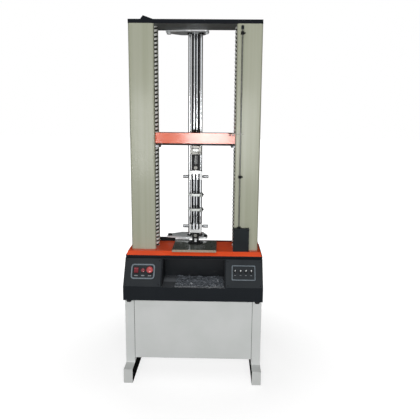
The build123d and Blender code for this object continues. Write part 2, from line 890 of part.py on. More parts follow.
def grip_screw(low, opens_down, hand):
    """Spindle that bears on the jaw, with a long round knob outside the grip."""
    start = jaw_gap / 2 + jaw_thick + seat_gap
    knob_at = grip_width / 2 + jaw_closing + knob_clear
    knob_end = knob_at + knob_length
    shape = turned([(0, start), (spindle_radius, start), (spindle_radius, knob_at), (knob_radius, knob_at),
                    (knob_radius, knob_end - knob_chamfer), (knob_radius - knob_chamfer, knob_end),
                    (0, knob_end)])
    return Pos(0, 0, low + spindle_level(opens_down)) * (Rotation(0, 90 * hand, 0) * shape)


def base_stud():
    """Round flange on the base plate with a stud up into the lower joint's slot."""
    stud_end = lower_slot_top - seat_gap
    return turned([(0, base_top), (flange_radius, base_top), (flange_radius, flange_top - flange_lip),
                   (flange_radius - flange_lip, flange_top), (stud_radius, flange_top),
                   (stud_radius, stud_end), (0, stud_end)])


# Limit switch rod

rod_x = column_inner + rod_offset
rod_y = column_front - rod_forward


def limit_switch_box():
    """Black box that the rod works in, open against the column, and the rod's upper guide."""
    x0 = column_inner - box_overhang
    xs = (x0, x0 + box_width)
    ys = (column_front - box_depth, column_front)
    zs = (table_top, table_top + box_height)
    hollow = block((xs[0] + box_sheet, xs[1] - box_sheet), (ys[0] + box_sheet, ys[1]),
                   (zs[0], zs[1] - box_sheet))
    box = block(xs, ys, zs) - hollow - post(rod_x, rod_y, zs, rod_radius + rod_gap)
    guide_z = (column_top - guide_block_drop, column_top - guide_block_drop + guide_block_height)
    guide_x0, guide_x1 = rod_x - guide_block / 2, rod_x + guide_block / 2
    guide = block((guide_x0, guide_x1), (rod_y - guide_block / 2, column_front), guide_z)
    return group(box, guide - post(rod_x, rod_y, guide_z, rod_radius + rod_gap))


def limit_rod():
    low = table_top + box_height - box_rod_depth
    return post(rod_x, rod_y, (low, column_top - rod_end), rod_radius)


def rod_collars():
    half = rod_collar_height / 2
    levels = [table_top + low_collar, column_top - high_collar]
    bore = rod_radius + running_gap
    return group(*[ring(rod_x, rod_y, (z - half, z + half), collar_radius, bore) for z in levels])


def striker_arm():
    """Bent plate: a foot on the hood, an arm past the cover's edge, an eye round the rod."""
    face = -hood_depth / 2
    eye = rod_radius + striker_hole
    outer_y = rod_y - eye - striker_rim
    x1 = column_inner - striker_clear
    x0 = x1 - striker_foot
    zs = (hood_top - striker_sheet, hood_top)
    near_y = column_front - striker_clear
    end_x = rod_x + eye + striker_rim
    arm = plan([(x0, face), (x0, near_y), (x0 + striker_foot / 2, outer_y), (end_x, outer_y),
                (end_x, near_y), (x1, near_y), (x1, face)], zs)
    arm -= post(rod_x, rod_y, zs, eye)
    foot_z = (hood_top - striker_flange, hood_top - striker_sheet)
    foot = block((x0, x1), (face - striker_sheet, face), foot_z)
    return arm + foot


# Extensometer

pivot_x = -column_inner + pivot_inset
pivot_y = column_back + eye_radius + eye_gap
low_bracket = table_top + bracket_rise
low_swing = low_bracket + bracket_height + swing_gap
high_swing = column_top - swing_under - swing_thick
high_bracket = high_swing + swing_thick + swing_gap
rail_span = (low_swing + swing_thick, high_swing)


def bracket(bar_z, pin_z, head_z):
    """Flat bar behind the column with an eye, a pivot pin and the pin's head."""
    bar = block((-column_inner - bracket_length, pivot_x), (column_back, column_back + bracket_thick), bar_z)
    bar += post(pivot_x, pivot_y, bar_z, eye_radius)
    bar += post(pivot_x, pivot_y, pin_z, pivot_radius)
    return bar + post(pivot_x, pivot_y, head_z, knob_head)


def extensometer_brackets():
    low_bar = (low_bracket, low_bracket + bracket_height)
    low_head = low_swing + swing_thick + swing_gap
    low = bracket(low_bar, (low_bar[1], low_head), (low_head, low_head + knob_head_height))
    ledge_y = (pivot_y - ledge_depth / 2, pivot_y + ledge_depth / 2)
    low += block((pivot_x, pivot_x + ledge_length), ledge_y, low_bar)
    high_bar = (high_bracket, high_bracket + bracket_height)
    high_head = high_swing - swing_gap
    high = bracket(high_bar, (high_head, high_bar[0]), (high_head - knob_head_height, high_head))
    return group(low, high)


def swing_plate(level):
    corners = [(pivot_x - swing_tip, pivot_y - swing_tip), (-swing_front_left, swing_front),
               (swing_right - swing_corner, swing_front), (swing_right, swing_front + swing_corner),
               (swing_right, swing_waist), (swing_far_right, swing_far), (-swing_far_left, swing_far),
               (pivot_x, swing_shoulder), (pivot_x - swing_tip, pivot_y + swing_tip)]
    zs = (level, level + swing_thick)
    return plan(corners, zs) - post(pivot_x, pivot_y, zs, pivot_radius + running_gap)


def swing_plates():
    return group(swing_plate(low_swing), swing_plate(high_swing))


def at_rails(shape):
    """A piece drawn about the middle of the guide rods, moved to its place."""
    return Pos(-rail_shift, 0, 0) * shape


def extensometer_rods():
    rail = pair(post(rail_pitch / 2, rail_back, rail_span, rail_radius))
    tube = pair(post(tube_pitch / 2, tube_back, rail_span, tube_radius))
    return at_rails(group(rail, tube))


def extensometer_channel():
    half = channel_width / 2
    back = channel_front + channel_depth
    outer = block((-half, half), (channel_front, back), rail_span)
    inner = half - channel_sheet
    return at_rails(outer - block((-inner, inner), (channel_front, back - channel_sheet), rail_span))


def carriage(level):
    """Boss on the right rod with an ear for the clip arm's pin, and a bar to a thin eye on the left rod."""
    zs = (level - carriage_height / 2, level + carriage_height / 2)
    ear_z = (zs[0], level)
    bar_z = (level - carriage_bar_height, level)
    eye_z = (level - carriage_eye, level)
    rail_x = rail_pitch / 2
    bore = rail_radius + rail_gap
    body = post(rail_x, rail_back, zs, bore + carriage_wall)
    body += block((rail_radius - rail_x, rail_x), (rail_back - carriage_bar, rail_back), bar_z)
    body += post(-rail_x, rail_back, eye_z, bore + carriage_eye_wall)
    body += post(arm_pivot_x, arm_pivot_back, ear_z, arm_hub)
    body += block((arm_pivot_x - arm_hub, arm_pivot_x + arm_hub), (arm_pivot_back, rail_back), ear_z)
    body += post(arm_pivot_x, arm_pivot_back, (level, zs[1]), arm_pin)
    for x in (-rail_x, rail_x):
        body -= post(x, rail_back, zs, bore)
    return at_rails(body)


def clip_arm(level):
    """Arm folded across the carriage, with a narrow tip that meets the specimen."""
    zs = (level + arm_gap, level + carriage_height / 2 - arm_gap)
    half = arm_width / 2
    end = arm_pivot_x - arm_length
    arm = plan([(arm_pivot_x, arm_pivot_back - half), (arm_pivot_x, arm_pivot_back + half),
                (end + 2 * arm_width, arm_pivot_back + half), (end, arm_pivot_back + arm_tip / 2),
                (end, arm_pivot_back - arm_tip / 2), (end + 2 * arm_width, arm_pivot_back - half)], zs)
    arm += post(arm_pivot_x, arm_pivot_back, zs, arm_hub)
    return at_rails(arm - post(arm_pivot_x, arm_pivot_back, zs, arm_pin + running_gap))


upper_grip = (grip_top - grip_height, True)
lower_grip = (lower_grip_low, False)
low_clip = table_top + low_carriage
high_clip = table_top + high_carriage

nodes = {
    "stand_feet": stand_feet(),
    "stand_legs": stand_legs(),
    "stand_panel": stand_panel(),
    "stand_top_frame": stand_top_frame(),
    "machine_feet": machine_feet(),
    "console_base": console_base(),
    "console_shell": console_shell(),
    "tray_liner": tray_liner(),
    "control_panels": control_panels(),
    "control_bushes": control_bushes(),
    "pilot_lamp": pilot_lamp(),
    "power_rocker": power_rocker(),
    "stop_button": stop_button(),
    "table_cover": table_cover(),
    "base_plate": base_plate(),
    "base_frame": base_frame(),
    "guide_columns": guide_columns(),
    "front_covers": front_covers(),
    "rear_covers": rear_covers(),
    "top_beam": top_beam(),
    "top_cover": top_cover(),
    "left_screw": screw(-screw_x),
    "right_screw": screw(screw_x),
    "screw_bearings": screw_bearings(),
    "drive_motor": drive_motor(),
    "motor_pulley": motor_pulley(),
    "drive_belt": drive_belt(),
    "crosshead_beam": crosshead_beam(),
    "crosshead_cover": crosshead_cover(),
    "nuts_and_bushes": nuts_and_bushes(),
    "striker_arm": striker_arm(),
    "load_cell": load_cell(),
    "upper_joint": upper_joint(),
    "upper_grip_body": grip_body(*upper_grip, upper_pin),
    "lower_grip_body": grip_body(*lower_grip, lower_pin),
    "lower_joint": lower_joint(),
    "base_stud": base_stud(),
    "limit_switch_box": limit_switch_box(),
    "limit_rod": limit_rod(),
    "rod_collars": rod_collars(),
    "extensometer_brackets": extensometer_brackets(),
    "swing_plates": swing_plates(),
    "extensometer_rods": extensometer_rods(),
    "extensometer_channel": extensometer_channel(),
    "upper_carriage": carriage(high_clip),
    "lower_carriage": carriage(low_clip),
    "upper_clip_arm": clip_arm(high_clip),
    "lower_clip_arm": clip_arm(low_clip),
}
for place, grip in (("upper", upper_grip), ("lower", lower_grip)):
    for hand, name in ((-1, "left"), (1, "right")):
        nodes[f"{place}_{name}_jaw"] = jaw(*grip, hand)
        nodes[f"{place}_{name}_grip_screw"] = grip_screw(*grip, hand)
for number, x in enumerate(lever_spots(), start=1):
    nodes[f"toggle_lever_{number}"] = toggle_lever(x)

os.makedirs("parts", exist_ok=True)
for name, shape in nodes.items():
    export_step(shape, f"parts/{name}.step")
print(len(nodes), "nodes written")
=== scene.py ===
import math
import bmesh
import bpy
import numpy as np
from mathutils import Matrix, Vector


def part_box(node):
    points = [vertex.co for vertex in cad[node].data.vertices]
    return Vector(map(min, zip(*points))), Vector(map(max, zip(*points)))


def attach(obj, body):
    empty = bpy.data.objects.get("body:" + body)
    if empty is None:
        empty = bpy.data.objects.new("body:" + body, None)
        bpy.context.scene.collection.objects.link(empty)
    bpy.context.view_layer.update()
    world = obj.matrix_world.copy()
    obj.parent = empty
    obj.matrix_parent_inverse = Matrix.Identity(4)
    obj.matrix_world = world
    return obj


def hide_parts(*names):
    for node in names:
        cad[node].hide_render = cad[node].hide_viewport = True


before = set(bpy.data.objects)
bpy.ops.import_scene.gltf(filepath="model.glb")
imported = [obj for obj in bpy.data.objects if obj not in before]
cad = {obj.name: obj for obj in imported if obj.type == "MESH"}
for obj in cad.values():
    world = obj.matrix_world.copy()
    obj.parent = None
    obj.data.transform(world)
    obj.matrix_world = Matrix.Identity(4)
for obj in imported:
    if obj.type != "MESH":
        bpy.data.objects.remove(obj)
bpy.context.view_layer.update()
mm = 0.001
toFront = (0, -1, 0)
print("frame loaded:", len(cad), "nodes")


def boxOf(node):
    # lowest and highest corner of a CAD node, in millimetres
    low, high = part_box(node)
    return np.array(low) / mm, np.array(high) / mm


# materials

def linear(hexText):
    # sRGB hex to linear RGBA
    parts = [int(hexText[i:i + 2], 16) / 255 for i in (1, 3, 5)]
    return [p / 12.92 if p <= 0.04045 else ((p + 0.055) / 1.055) ** 2.4 for p in parts] + [1.0]


def addNode(tree, kind, settings=None, **sockets):
    # one shader node: settings are its own options, sockets take a value or a link,
    # and a name such as i6 means the socket's number
    node = tree.nodes.new("ShaderNode" + kind)
    for name, value in (settings or {}).items():
        setattr(node, name, value)
    for name, value in sockets.items():
        numbered = name[0] == "i" and name[1:].isdigit()
        socket = node.inputs[int(name[1:]) if numbered else name]
        if isinstance(value, bpy.types.NodeSocket):
            tree.links.new(value, socket)
        else:
            socket.default_value = value
    return node


def finish(name, colour, shade, rough, metal=0.0, patch=160.0, smudge=45.0, spread=0.06, grain=1.2,
           relief=0.02, stretch=(1, 1, 1), coat=0.0, coatRough=0.08, spec=0.5):
    # tone drifts between two colours, gloss varies in smudges, and the grain lifts the surface;
    # patch, smudge, grain and relief are in millimetres, with the grain of metals coarser than real
    # so that it can show; stretch under 1 draws the pattern out along that axis
    material = bpy.data.materials.new(name)
    material.use_nodes = True
    tree = material.node_tree
    tree.nodes.clear()
    place = addNode(tree, "TexCoord").outputs["Object"]
    lie = addNode(tree, "Mapping", Vector=place, Scale=stretch).outputs["Vector"]
    tone = addNode(tree, "TexNoise", Vector=lie, Scale=1 / (patch * mm), Detail=3.0, Roughness=0.5)
    drift = addNode(tree, "MapRange", Value=tone.outputs["Fac"], i1=0.35, i2=0.65).outputs["Result"]
    base = addNode(tree, "Mix", {"data_type": "RGBA"}, i0=drift, i6=linear(colour), i7=linear(shade))
    cloud = addNode(tree, "TexNoise", Vector=lie, Scale=1 / (smudge * mm), Detail=4.0, Roughness=0.6)
    gloss = addNode(tree, "MapRange", Value=cloud.outputs["Fac"], i1=0.3, i2=0.7,
                    i3=rough - spread, i4=rough + spread).outputs["Result"]
    fine = addNode(tree, "TexNoise", Vector=lie, Scale=1 / (grain * mm), Detail=2.0, Roughness=0.5)
    bump = addNode(tree, "Bump", Height=fine.outputs["Fac"], Distance=relief * mm, Strength=1.0)
    shader = addNode(tree, "BsdfPrincipled", Roughness=gloss, Normal=bump.outputs["Normal"], Metallic=metal,
                     **{"Base Color": base.outputs[2], "Coat Weight": coat, "Coat Roughness": coatRough,
                        "Specular IOR Level": spec})
    tree.links.new(shader.outputs["BSDF"], addNode(tree, "OutputMaterial").inputs["Surface"])
    return material


# powder-coated sheet steel: pale and even, with a fine grain and a soft sheen
standPowder = finish("standPowderCoat", "#D2D4D3", "#CCCFCD", 0.46, grain=0.9, relief=0.03, coat=0.1)
# the same coat on the feet, a shade darker; painted shade darkens their inner walls further down
footPowder = finish("footPowderCoat", "#CDCFCD", "#C7CAC8", 0.46, grain=0.9, relief=0.03)
# enamel on the column covers: faint upright streaks under a thin gloss
columnEnamel = finish("columnEnamel", "#9FA18F", "#979A86", 0.4, patch=22, grain=1.6, relief=0.012,
                      stretch=(1, 1, 0.02), coat=0.3, coatRough=0.16, spec=0.35)
# textured paint on the console: near black with little shine
consolePaint = finish("consoleCharcoal", "#0F1317", "#13171B", 0.5, grain=0.8, relief=0.05, spec=0.12)
# satin paint on the control panels: a shade paler than the console
panelPaint = finish("controlPanelGrey", "#1B1F23", "#222629", 0.48, grain=0.7, relief=0.04, spec=0.2)
# paint inside the tray: dark, with dust and painted shadow laid on it further down
trayPaint = finish("trayCharcoal", "#111316", "#16191C", 0.36, grain=1.0, relief=0.03, spec=0.15)
# sprayed enamel on the table: strong orange with soft highlights
orangeEnamel = finish("orangeEnamel", "#EE5529", "#E04D23", 0.36, grain=2.2, relief=0.015, coat=0.12,
                      coatRough=0.2, spec=0.2)
# thick enamel on the crosshead's hood: orange peel under a gloss that mirrors the lamps
hoodEnamel = finish("hoodEnamel", "#DE5A26", "#D5521F", 0.5, patch=40, grain=5.0, relief=0.05, coat=1.0,
                    coatRough=0.16, spec=0.05)
# stove paint on the top cover: black with hardly a highlight
topPaint = finish("topCoverBlack", "#0E1116", "#12151A", 0.42, grain=1.0, relief=0.03, spec=0.08)
# primer on the beams: flat grey
beamPaint = finish("beamGrey", "#6E7270", "#656967", 0.5, grain=1.1, relief=0.04, spec=0.2)
# paint on the crosshead's beam: flat, faintly brown
crossPaint = finish("crossheadDark", "#1A1614", "#221D1A", 0.5, grain=1.1, relief=0.03, spec=0.12)
# ground steel: bright, with fine lines from the wheel
groundSteel = finish("groundSteel", "#C6C8CA", "#B4B7BA", 0.26, metal=1.0, patch=60, smudge=20, spread=0.07,
                     grain=0.5, relief=0.006, stretch=(1, 1, 6))
# hard chrome on rods: nearly a mirror
hardChrome = finish("hardChrome", "#DADCDE", "#D2D5D8", 0.12, metal=1.0, patch=90, smudge=30, spread=0.04,
                    grain=0.4, relief=0.003, stretch=(1, 1, 8))
# rolled thread: pale crests, with grease and painted shade laid in its grooves further down
threadSteel = finish("threadSteel", "#E4E5E1", "#D8DAD5", 0.36, metal=0.3, patch=30, smudge=12, spread=0.08,
                     grain=0.5, relief=0.01)
# black oxide on steel: dark with a low sheen
blackOxide = finish("blackOxide", "#101112", "#181819", 0.36, patch=40, smudge=18, spread=0.08, grain=0.6,
                    relief=0.012, spec=0.1)
# polished base plate: dark, mirror-like through a film of oil
platePolish = finish("basePlatePolish", "#4A4F4A", "#545952", 0.3, patch=50, smudge=30, grain=0.5,
                     relief=0.002, stretch=(8, 1, 1), coat=0.6)
# nickel plate on the grips: satin grey metal
nickel = finish("nickelPlate", "#AEAFAF", "#A1A2A2", 0.42, metal=1.0, patch=50, smudge=25, grain=0.7,
                relief=0.006)
# turned steel of the load cell: darker satin
cellSteel = finish("cellSteel", "#7E7D79", "#747370", 0.4, metal=1.0, patch=50, smudge=25, grain=0.7,
                   relief=0.006)
# brushed aluminium: satin with a faint grain
satinAlloy = finish("satinAlloy", "#A6A9A6", "#989B98", 0.38, metal=1.0, patch=60, smudge=25, grain=0.5,
                    relief=0.01, stretch=(6, 1, 1))
# milled aluminium plate: pale and nearly matt
millAlloy = finish("millAlloy", "#CDD0D1", "#C0C4C5", 0.42, metal=0.15, patch=60, smudge=25, grain=0.5,
                   relief=0.01, stretch=(6, 1, 1))
# bare ground edge of the base plate: warm grey
bareEdge = finish("bareEdge", "#8F8475", "#837867", 0.42, metal=0.5, patch=40, smudge=20, grain=0.5,
                  relief=0.01, stretch=(6, 1, 1))
# black anodised aluminium: deep and even
blackAnodised = finish("blackAnodised", "#0D0E10", "#131416", 0.4, patch=80, grain=0.5, relief=0.01,
                       spec=0.25)
# drawn steel rod: grey with a narrow highlight
rodSteel = finish("rodSteel", "#6A6B66", "#585954", 0.3, metal=1.0, patch=60, smudge=20, grain=0.5,
                  relief=0.006, stretch=(1, 1, 6))
# knurled steel: mid grey with small glints
knobSteel = finish("knobSteel", "#8E9092", "#7D7F81", 0.3, metal=1.0, patch=20, smudge=10, grain=0.5,
                   relief=0.006)
# bright nickel on small parts: drawn pale all over as a painted highlight, because so small a piece shows one
# highlight all over
nickelPaintedHighlight = finish("nickelPaintedHighlight", "#EEF0F1", "#E4E6E8", 0.3, metal=0.1, patch=8, grain=0.4, relief=0.002)
# painted trim: blue-grey with a low sheen
trimSilver = finish("trimSilver", "#6C767D", "#616A71", 0.4, metal=0.3, patch=30, grain=0.5, relief=0.006,
                    stretch=(6, 1, 1))
# bare label strip: flat grey
labelGrey = finish("labelGrey", "#83878B", "#777B80", 0.5, patch=10, grain=0.4, relief=0.004)
# rubber: black and matt
footRubber = finish("footRubber", "#131313", "#1B1B1B", 0.75, patch=20, grain=0.6, relief=0.05, spec=0.3)
# moulded switch box: black with a fine grain
boxPlastic = finish("boxPlastic", "#0C1215", "#10171A", 0.46, patch=60, grain=0.7, relief=0.05, spec=0.15)
# moulded stop button: red under a clear gloss
redPlastic = finish("redPlastic", "#A3141A", "#B51C20", 0.3, patch=20, grain=0.8, relief=0.004, coat=1.0,
                    coatRough=0.1)
# moulded rocker: dark red, half gloss
rockerRed = finish("rockerRed", "#7A0E22", "#66091A", 0.3, patch=10, grain=0.6, relief=0.006, spec=0.3)
# unlit lamp lens: dark red and smooth
lampRed = finish("lampRed", "#6E0C1E", "#801226", 0.16, patch=6, grain=0.6, relief=0.002, coat=0.3)
# vinyl mat: grey with glossy folds; painted shade darkens its front edge further down
matVinyl = finish("trayMatVinyl", "#53585E", "#6E737A", 0.2, patch=24, smudge=14, grain=1.6, relief=0.05,
                  coat=1.0, coatRough=0.1)

gripEnds = [place + "_" + hand for place in ("upper", "lower") for hand in ("left", "right")]
nodeFinish = {
    footPowder: ["stand_feet"],
    standPowder: ["stand_legs", "stand_panel", "stand_top_frame"],
    columnEnamel: ["front_covers", "rear_covers"],
    consolePaint: ["console_shell", "console_base"],
    panelPaint: ["control_panels"],
    trayPaint: ["tray_liner"],
    orangeEnamel: ["table_cover"],
    hoodEnamel: ["crosshead_cover"],
    topPaint: ["top_cover", "drive_motor"],
    beamPaint: ["top_beam", "base_frame"],
    crossPaint: ["crosshead_beam"],
    groundSteel: ["screw_bearings", "nuts_and_bushes"],
    rodSteel: ["limit_rod", "striker_arm"],
    hardChrome: ["guide_columns", "extensometer_rods"],
    # toggle levers: drawn pale as a painted highlight
    nickelPaintedHighlight: ["toggle_lever_%d" % i for i in (1, 2, 3, 4)],
    blackOxide: ["upper_joint", "lower_joint", "base_stud", "extensometer_brackets", "rod_collars"],
    platePolish: ["base_plate"],
    nickel: ["upper_grip_body", "lower_grip_body"] + [end + "_jaw" for end in gripEnds]
            + [end + "_grip_screw" for end in gripEnds],
    cellSteel: ["load_cell"],
    millAlloy: ["swing_plates"],
    satinAlloy: ["upper_carriage", "lower_carriage", "upper_clip_arm", "lower_clip_arm", "motor_pulley"],
    blackAnodised: ["extensometer_channel", "control_bushes"],
    footRubber: ["machine_feet", "drive_belt"],
    boxPlastic: ["limit_switch_box"],
    redPlastic: ["stop_button"],
    rockerRed: ["power_rocker"],
    lampRed: ["pilot_lamp"],
    threadSteel: ["left_screw", "right_screw"],
}
for material, names in nodeFinish.items():
    for name in names:
        cad[name].data.materials.clear()
        cad[name].data.materials.append(material)


def overpaint(material, colour, shareOf):
    # second colour laid over the first, by a share of 0 to 1 that shareOf works out with nodes
    tree = material.node_tree
    shader = next(node for node in tree.nodes if node.type == "BSDF_PRINCIPLED")
    base = shader.inputs["Base Color"].links[0].from_socket
    share = shareOf(tree)
    mix = addNode(tree, "Mix", {"data_type": "RGBA"}, i0=share, i6=base, i7=linear(colour))
    tree.links.new(mix.outputs[2], shader.inputs["Base Color"])
    return tree, shader, share


def innerShadeSide(tree):
    # mask of the painted shade on the feet: 1 where the surface faces the middle, where the product of its
    # facing X and its place X is negative
    facing = addNode(tree, "SeparateXYZ", Vector=addNode(tree, "NewGeometry").outputs["Normal"]).outputs["X"]
    place = addNode(tree, "SeparateXYZ", Vector=addNode(tree, "TexCoord").outputs["Object"]).outputs["X"]
    inward = addNode(tree, "Math", {"operation": "MULTIPLY"}, i0=facing, i1=place).outputs[0]
    return addNode(tree, "MapRange", Value=inward, i1=-0.1, i2=-0.2).outputs["Result"]


# painted shade: the feet's inner walls are drawn dark and lose their shine, standing in for the shade they
# lie in
tree, shader, share = overpaint(footPowder, "#2A2B2B", innerShadeSide)
shadeNoShine = addNode(tree, "MapRange", Value=share, i3=0.5, i4=0.0).outputs["Result"]
tree.links.new(shadeNoShine, shader.inputs["Specular IOR Level"])


def matEdgeShade(tree):
    # mask of the painted shade on the mat: 1 where the surface faces the front
    facing = addNode(tree, "SeparateXYZ", Vector=addNode(tree, "NewGeometry").outputs["Normal"]).outputs["Y"]
    return addNode(tree, "MapRange", Value=facing, i1=-0.9, i2=-0.97).outputs["Result"]


# painted shade: the mat's front-facing edge is drawn darker
overpaint(matVinyl, "#303338", matEdgeShade)

trayFloor = 487.0
# pale dust on the tray's floor, faded out towards the rear wall as painted shadow and lowered towards the
# front
dustAndShadowSpec = {"rise": 6.0, "rear": -100.0, "run": 52.0, "frontFade": -140.0, "frontFadeRun": 12.0, "left": 0.35}


def trayDustAndShadow(tree):
    # product of three ramps: out above the floor, out towards the rear wall as painted shadow, and down to a
    # share in front
    c = dustAndShadowSpec
    spot = addNode(tree, "SeparateXYZ", Vector=addNode(tree, "TexCoord").outputs["Object"]).outputs
    low = addNode(tree, "MapRange", Value=spot["Z"], i1=(trayFloor + c["rise"]) * mm, i2=trayFloor * mm)
    near = addNode(tree, "MapRange", Value=spot["Y"], i1=(c["rear"] + c["run"]) * mm, i2=c["rear"] * mm)
    frontTone = addNode(tree, "MapRange", Value=spot["Y"], i1=c["frontFade"] * mm,
                   i2=(c["frontFade"] - c["frontFadeRun"]) * mm, i3=1.0, i4=c["left"])
    thick = addNode(tree, "Math", {"operation": "MULTIPLY"}, i0=near.outputs["Result"],
                    i1=frontTone.outputs["Result"])
    return addNode(tree, "Math", {"operation": "MULTIPLY"}, i0=low.outputs["Result"],
                   i1=thick.outputs[0]).outputs[0]


# dust and painted shadow: the floor's rear part is kept dark
overpaint(trayPaint, "#7C8085", trayDustAndShadow)
print("materials:", len(nodeFinish))


# surfaces worked out on grids

def circle(radius, count=48):
    # points at equal angles: radius times cosine and sine
    angle = np.linspace(0, 2 * np.pi, count, endpoint=False)
    return np.stack([radius * np.cos(angle), radius * np.sin(angle)], -1)


def hexagon(flat, count=48):
    # polar radius of a hexagon: half the width over flats, over the cosine of the angle from the nearest flat
    angle = np.linspace(0, 2 * np.pi, count, endpoint=False)
    away = (angle + np.pi / 6) % (np.pi / 3) - np.pi / 6
    radius = flat / 2 / np.cos(away)
    return np.stack([radius * np.cos(angle), radius * np.sin(angle)], -1)


def roundRect(width, height, radius, corner=6):
    # four quarter circles whose centres are the corners moved in by the radius
    radius = max(radius, 1e-4)
    turn = np.linspace(0, np.pi / 2, corner)
    quarter = np.stack([np.cos(turn), np.sin(turn)], -1) * radius
    spin = [np.array([[c, s], [-s, c]]) for c, s in ((1, 0), (0, 1), (-1, 0), (0, -1))]
    inset = np.array([width / 2 - radius, height / 2 - radius])
    corners = np.array([[1, 1], [-1, 1], [-1, -1], [1, -1]]) * inset
    return np.concatenate([quarter @ m + c for m, c in zip(spin, corners)])


def raised(loops, levels):
    # loops of X and Y, each lifted to its own Z
    return np.stack([np.column_stack([loop, np.full(len(loop), z)]) for loop, z in zip(loops, levels)])


def turned(profile, count=48):
    # radius and Z pairs turned about Z
    profile = np.asarray(profile, float)
    ring = circle(1.0, count)
    spread = profile[:, 0][:, None, None] * ring[None]
    height = np.broadcast_to(profile[:, 1][:, None, None], spread.shape[:2] + (1,))
    return np.concatenate([spread, height], -1)


def skin(rings, closed=False, caps=True):
    # quads between neighbouring loops, and a fan over each open end
    rings = np.asarray(rings, float)
    rows, count, _ = rings.shape
    index = np.arange(rows * count).reshape(rows, count)
    low = index if closed else index[:-1]
    high = np.roll(index, -1, 0) if closed else index[1:]
    quads = np.stack([low, np.roll(low, -1, 1), np.roll(high, -1, 1), high], -1).reshape(-1, 4)
    points, faces = rings.reshape(-1, 3), [quads]
    if closed or not caps:
        return points, faces
    for row, order in ((index[0], [0, 2, 1]), (index[-1], [0, 1, 2])):
        fan = np.stack([np.full(count, len(points)), row, np.roll(row, -1)], -1)
        points = np.vstack([points, points[row].mean(0)])
        faces.append(fan[:, order])
    return points, faces


def sheet(grid):
    # open patch: quads between neighbouring points of a grid
    grid = np.asarray(grid, float)
    rows, cols, _ = grid.shape
    index = np.arange(rows * cols).reshape(rows, cols)
    quads = np.stack([index[:-1, :-1], index[1:, :-1], index[1:, 1:], index[:-1, 1:]], -1)
    return grid.reshape(-1, 3), [quads.reshape(-1, 4)]


def placed(part, origin=(0, 0, 0), xAxis=(1, 0, 0), zAxis=(0, 0, 1)):
    # local millimetres to the frame's metres: three axes and an origin
    points, faces = part
    z = np.asarray(zAxis, float) / np.linalg.norm(zAxis)
    x = np.asarray(xAxis, float) - np.dot(xAxis, z) * z
    x /= np.linalg.norm(x)
    basis = np.stack([x, np.cross(z, x), z])
    return (points @ basis + np.asarray(origin, float)) * mm, faces


def piece(name, parts, material, body, hides=(), sharp=32):
    # one object from several skins, with outward faces and soft shading up to the sharp angle
    points, faces, start = [], [], 0
    for part, blocks in parts:
        points.append(part)
        for block in blocks:
            faces += (block + start).tolist()
        start += len(part)
    mesh = bpy.data.meshes.new(name)
    mesh.from_pydata(np.concatenate(points).tolist(), [], faces)
    work = bmesh.new()
    work.from_mesh(mesh)
    bmesh.ops.recalc_face_normals(work, faces=work.faces)
    work.to_mesh(mesh)
    work.free()
    mesh.polygons.foreach_set("use_smooth", np.ones(len(mesh.polygons), bool))
    mesh.set_sharp_from_angle(angle=math.radians(sharp))
    mesh.materials.append(material)
    obj = bpy.data.objects.new(name, mesh)
    bpy.context.scene.collection.objects.link(obj)
    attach(obj, body)
    if hides:
        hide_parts(*hides)
    return obj


def capScrew(radius, height, socket):
    # round head with a chamfer and a hexagon socket
    chamfer = radius * 0.12
    loops = [circle(radius), circle(radius), circle(radius - chamfer), hexagon(socket), hexagon(socket)]
    return skin(raised(loops, [0, height - chamfer, height, height, height * 0.45]))


def panHead(radius, height):
    # low dome: the height falls off as a quarter ellipse
    turn = np.linspace(0, np.pi / 2, 7)
    profile = np.column_stack([radius * np.cos(turn), height * np.sin(turn)])
    profile[-1, 0] = radius * 0.02
    return skin(turned(profile, 24))


def frameTrim(width, height, radius, band, lift):
    # rounded rectangle band: an outer and an inner outline, chamfered, closed round
    edge = min(0.5, lift * 0.5)
    insets = [0, 0, edge, band - edge, band, band]
    loops = [roundRect(width - 2 * i, height - 2 * i, radius - i) for i in insets]
    return skin(raised(loops, [0, lift - edge, lift, lift, lift - edge, 0]), closed=True)


def plaque(width, height, radius, lift):
    # flat plate with softened rim; an outline below lists these sizes in this order
    edge = min(0.4, lift * 0.5)
    loops = [roundRect(width - 2 * i, height - 2 * i, radius - i) for i in (0, 0, edge)]
    return skin(raised(loops, [0, lift - edge, lift]))


def softEdge(radius, top, lip, count=6):
    # quarter circle that rounds an outer edge
    turn = np.linspace(0, np.pi / 2, count)
    return list(zip(radius - lip + lip * np.cos(turn), top - lip + lip * np.sin(turn)))


def boredRing(bore, radius, height, lip, count=48):
    # ring with a bore and one rounded edge, turned about Z
    outline = [(bore, 0), (radius, 0)] + softEdge(radius, height, lip) + [(bore, height)]
    return skin(turned(outline, count), caps=False)


def dome(radius, low, high, count=10):
    # quarter ellipse from the rim to the crown
    turn = np.linspace(0, np.pi / 2, count)
    return list(zip(np.maximum(radius * np.cos(turn), radius * 0.01), low + (high - low) * np.sin(turn)))


def boxedFace(gx, gy, height, base):
    # height field with walls down to a flat base
    top = np.stack([gx, gy, height], -1)
    flat = np.stack([gx, gy, np.full_like(gx, base)], -1)
    edge = np.concatenate([top[:, 0], top[-1, 1:], top[-2::-1, -1], top[0, -2:0:-1]])
    foot = edge.copy()
    foot[:, 2] = base
    return [sheet(top), sheet(flat), skin(np.stack([foot, edge]), caps=False)]


def helix(radius, low, high, depth, lead, width, step, around):
    # radius less a round groove, where the groove's phase is height over lead less the turn angle
    angle = np.linspace(0, 2 * np.pi, around, endpoint=False)
    level = np.linspace(low, high, int((high - low) / step) + 1)
    phase = (level[:, None] / lead - angle[None] / (2 * np.pi)) % 1.0
    groove = np.sqrt(np.clip(1 - ((phase - 0.5) / width) ** 2, 0, None))
    reach = radius - depth * groove
    heights = np.broadcast_to(level[:, None], reach.shape)
    return skin(np.stack([reach * np.cos(angle), reach * np.sin(angle), heights], -1))


# ball screws: groove along a helix, journals and the drive pulley

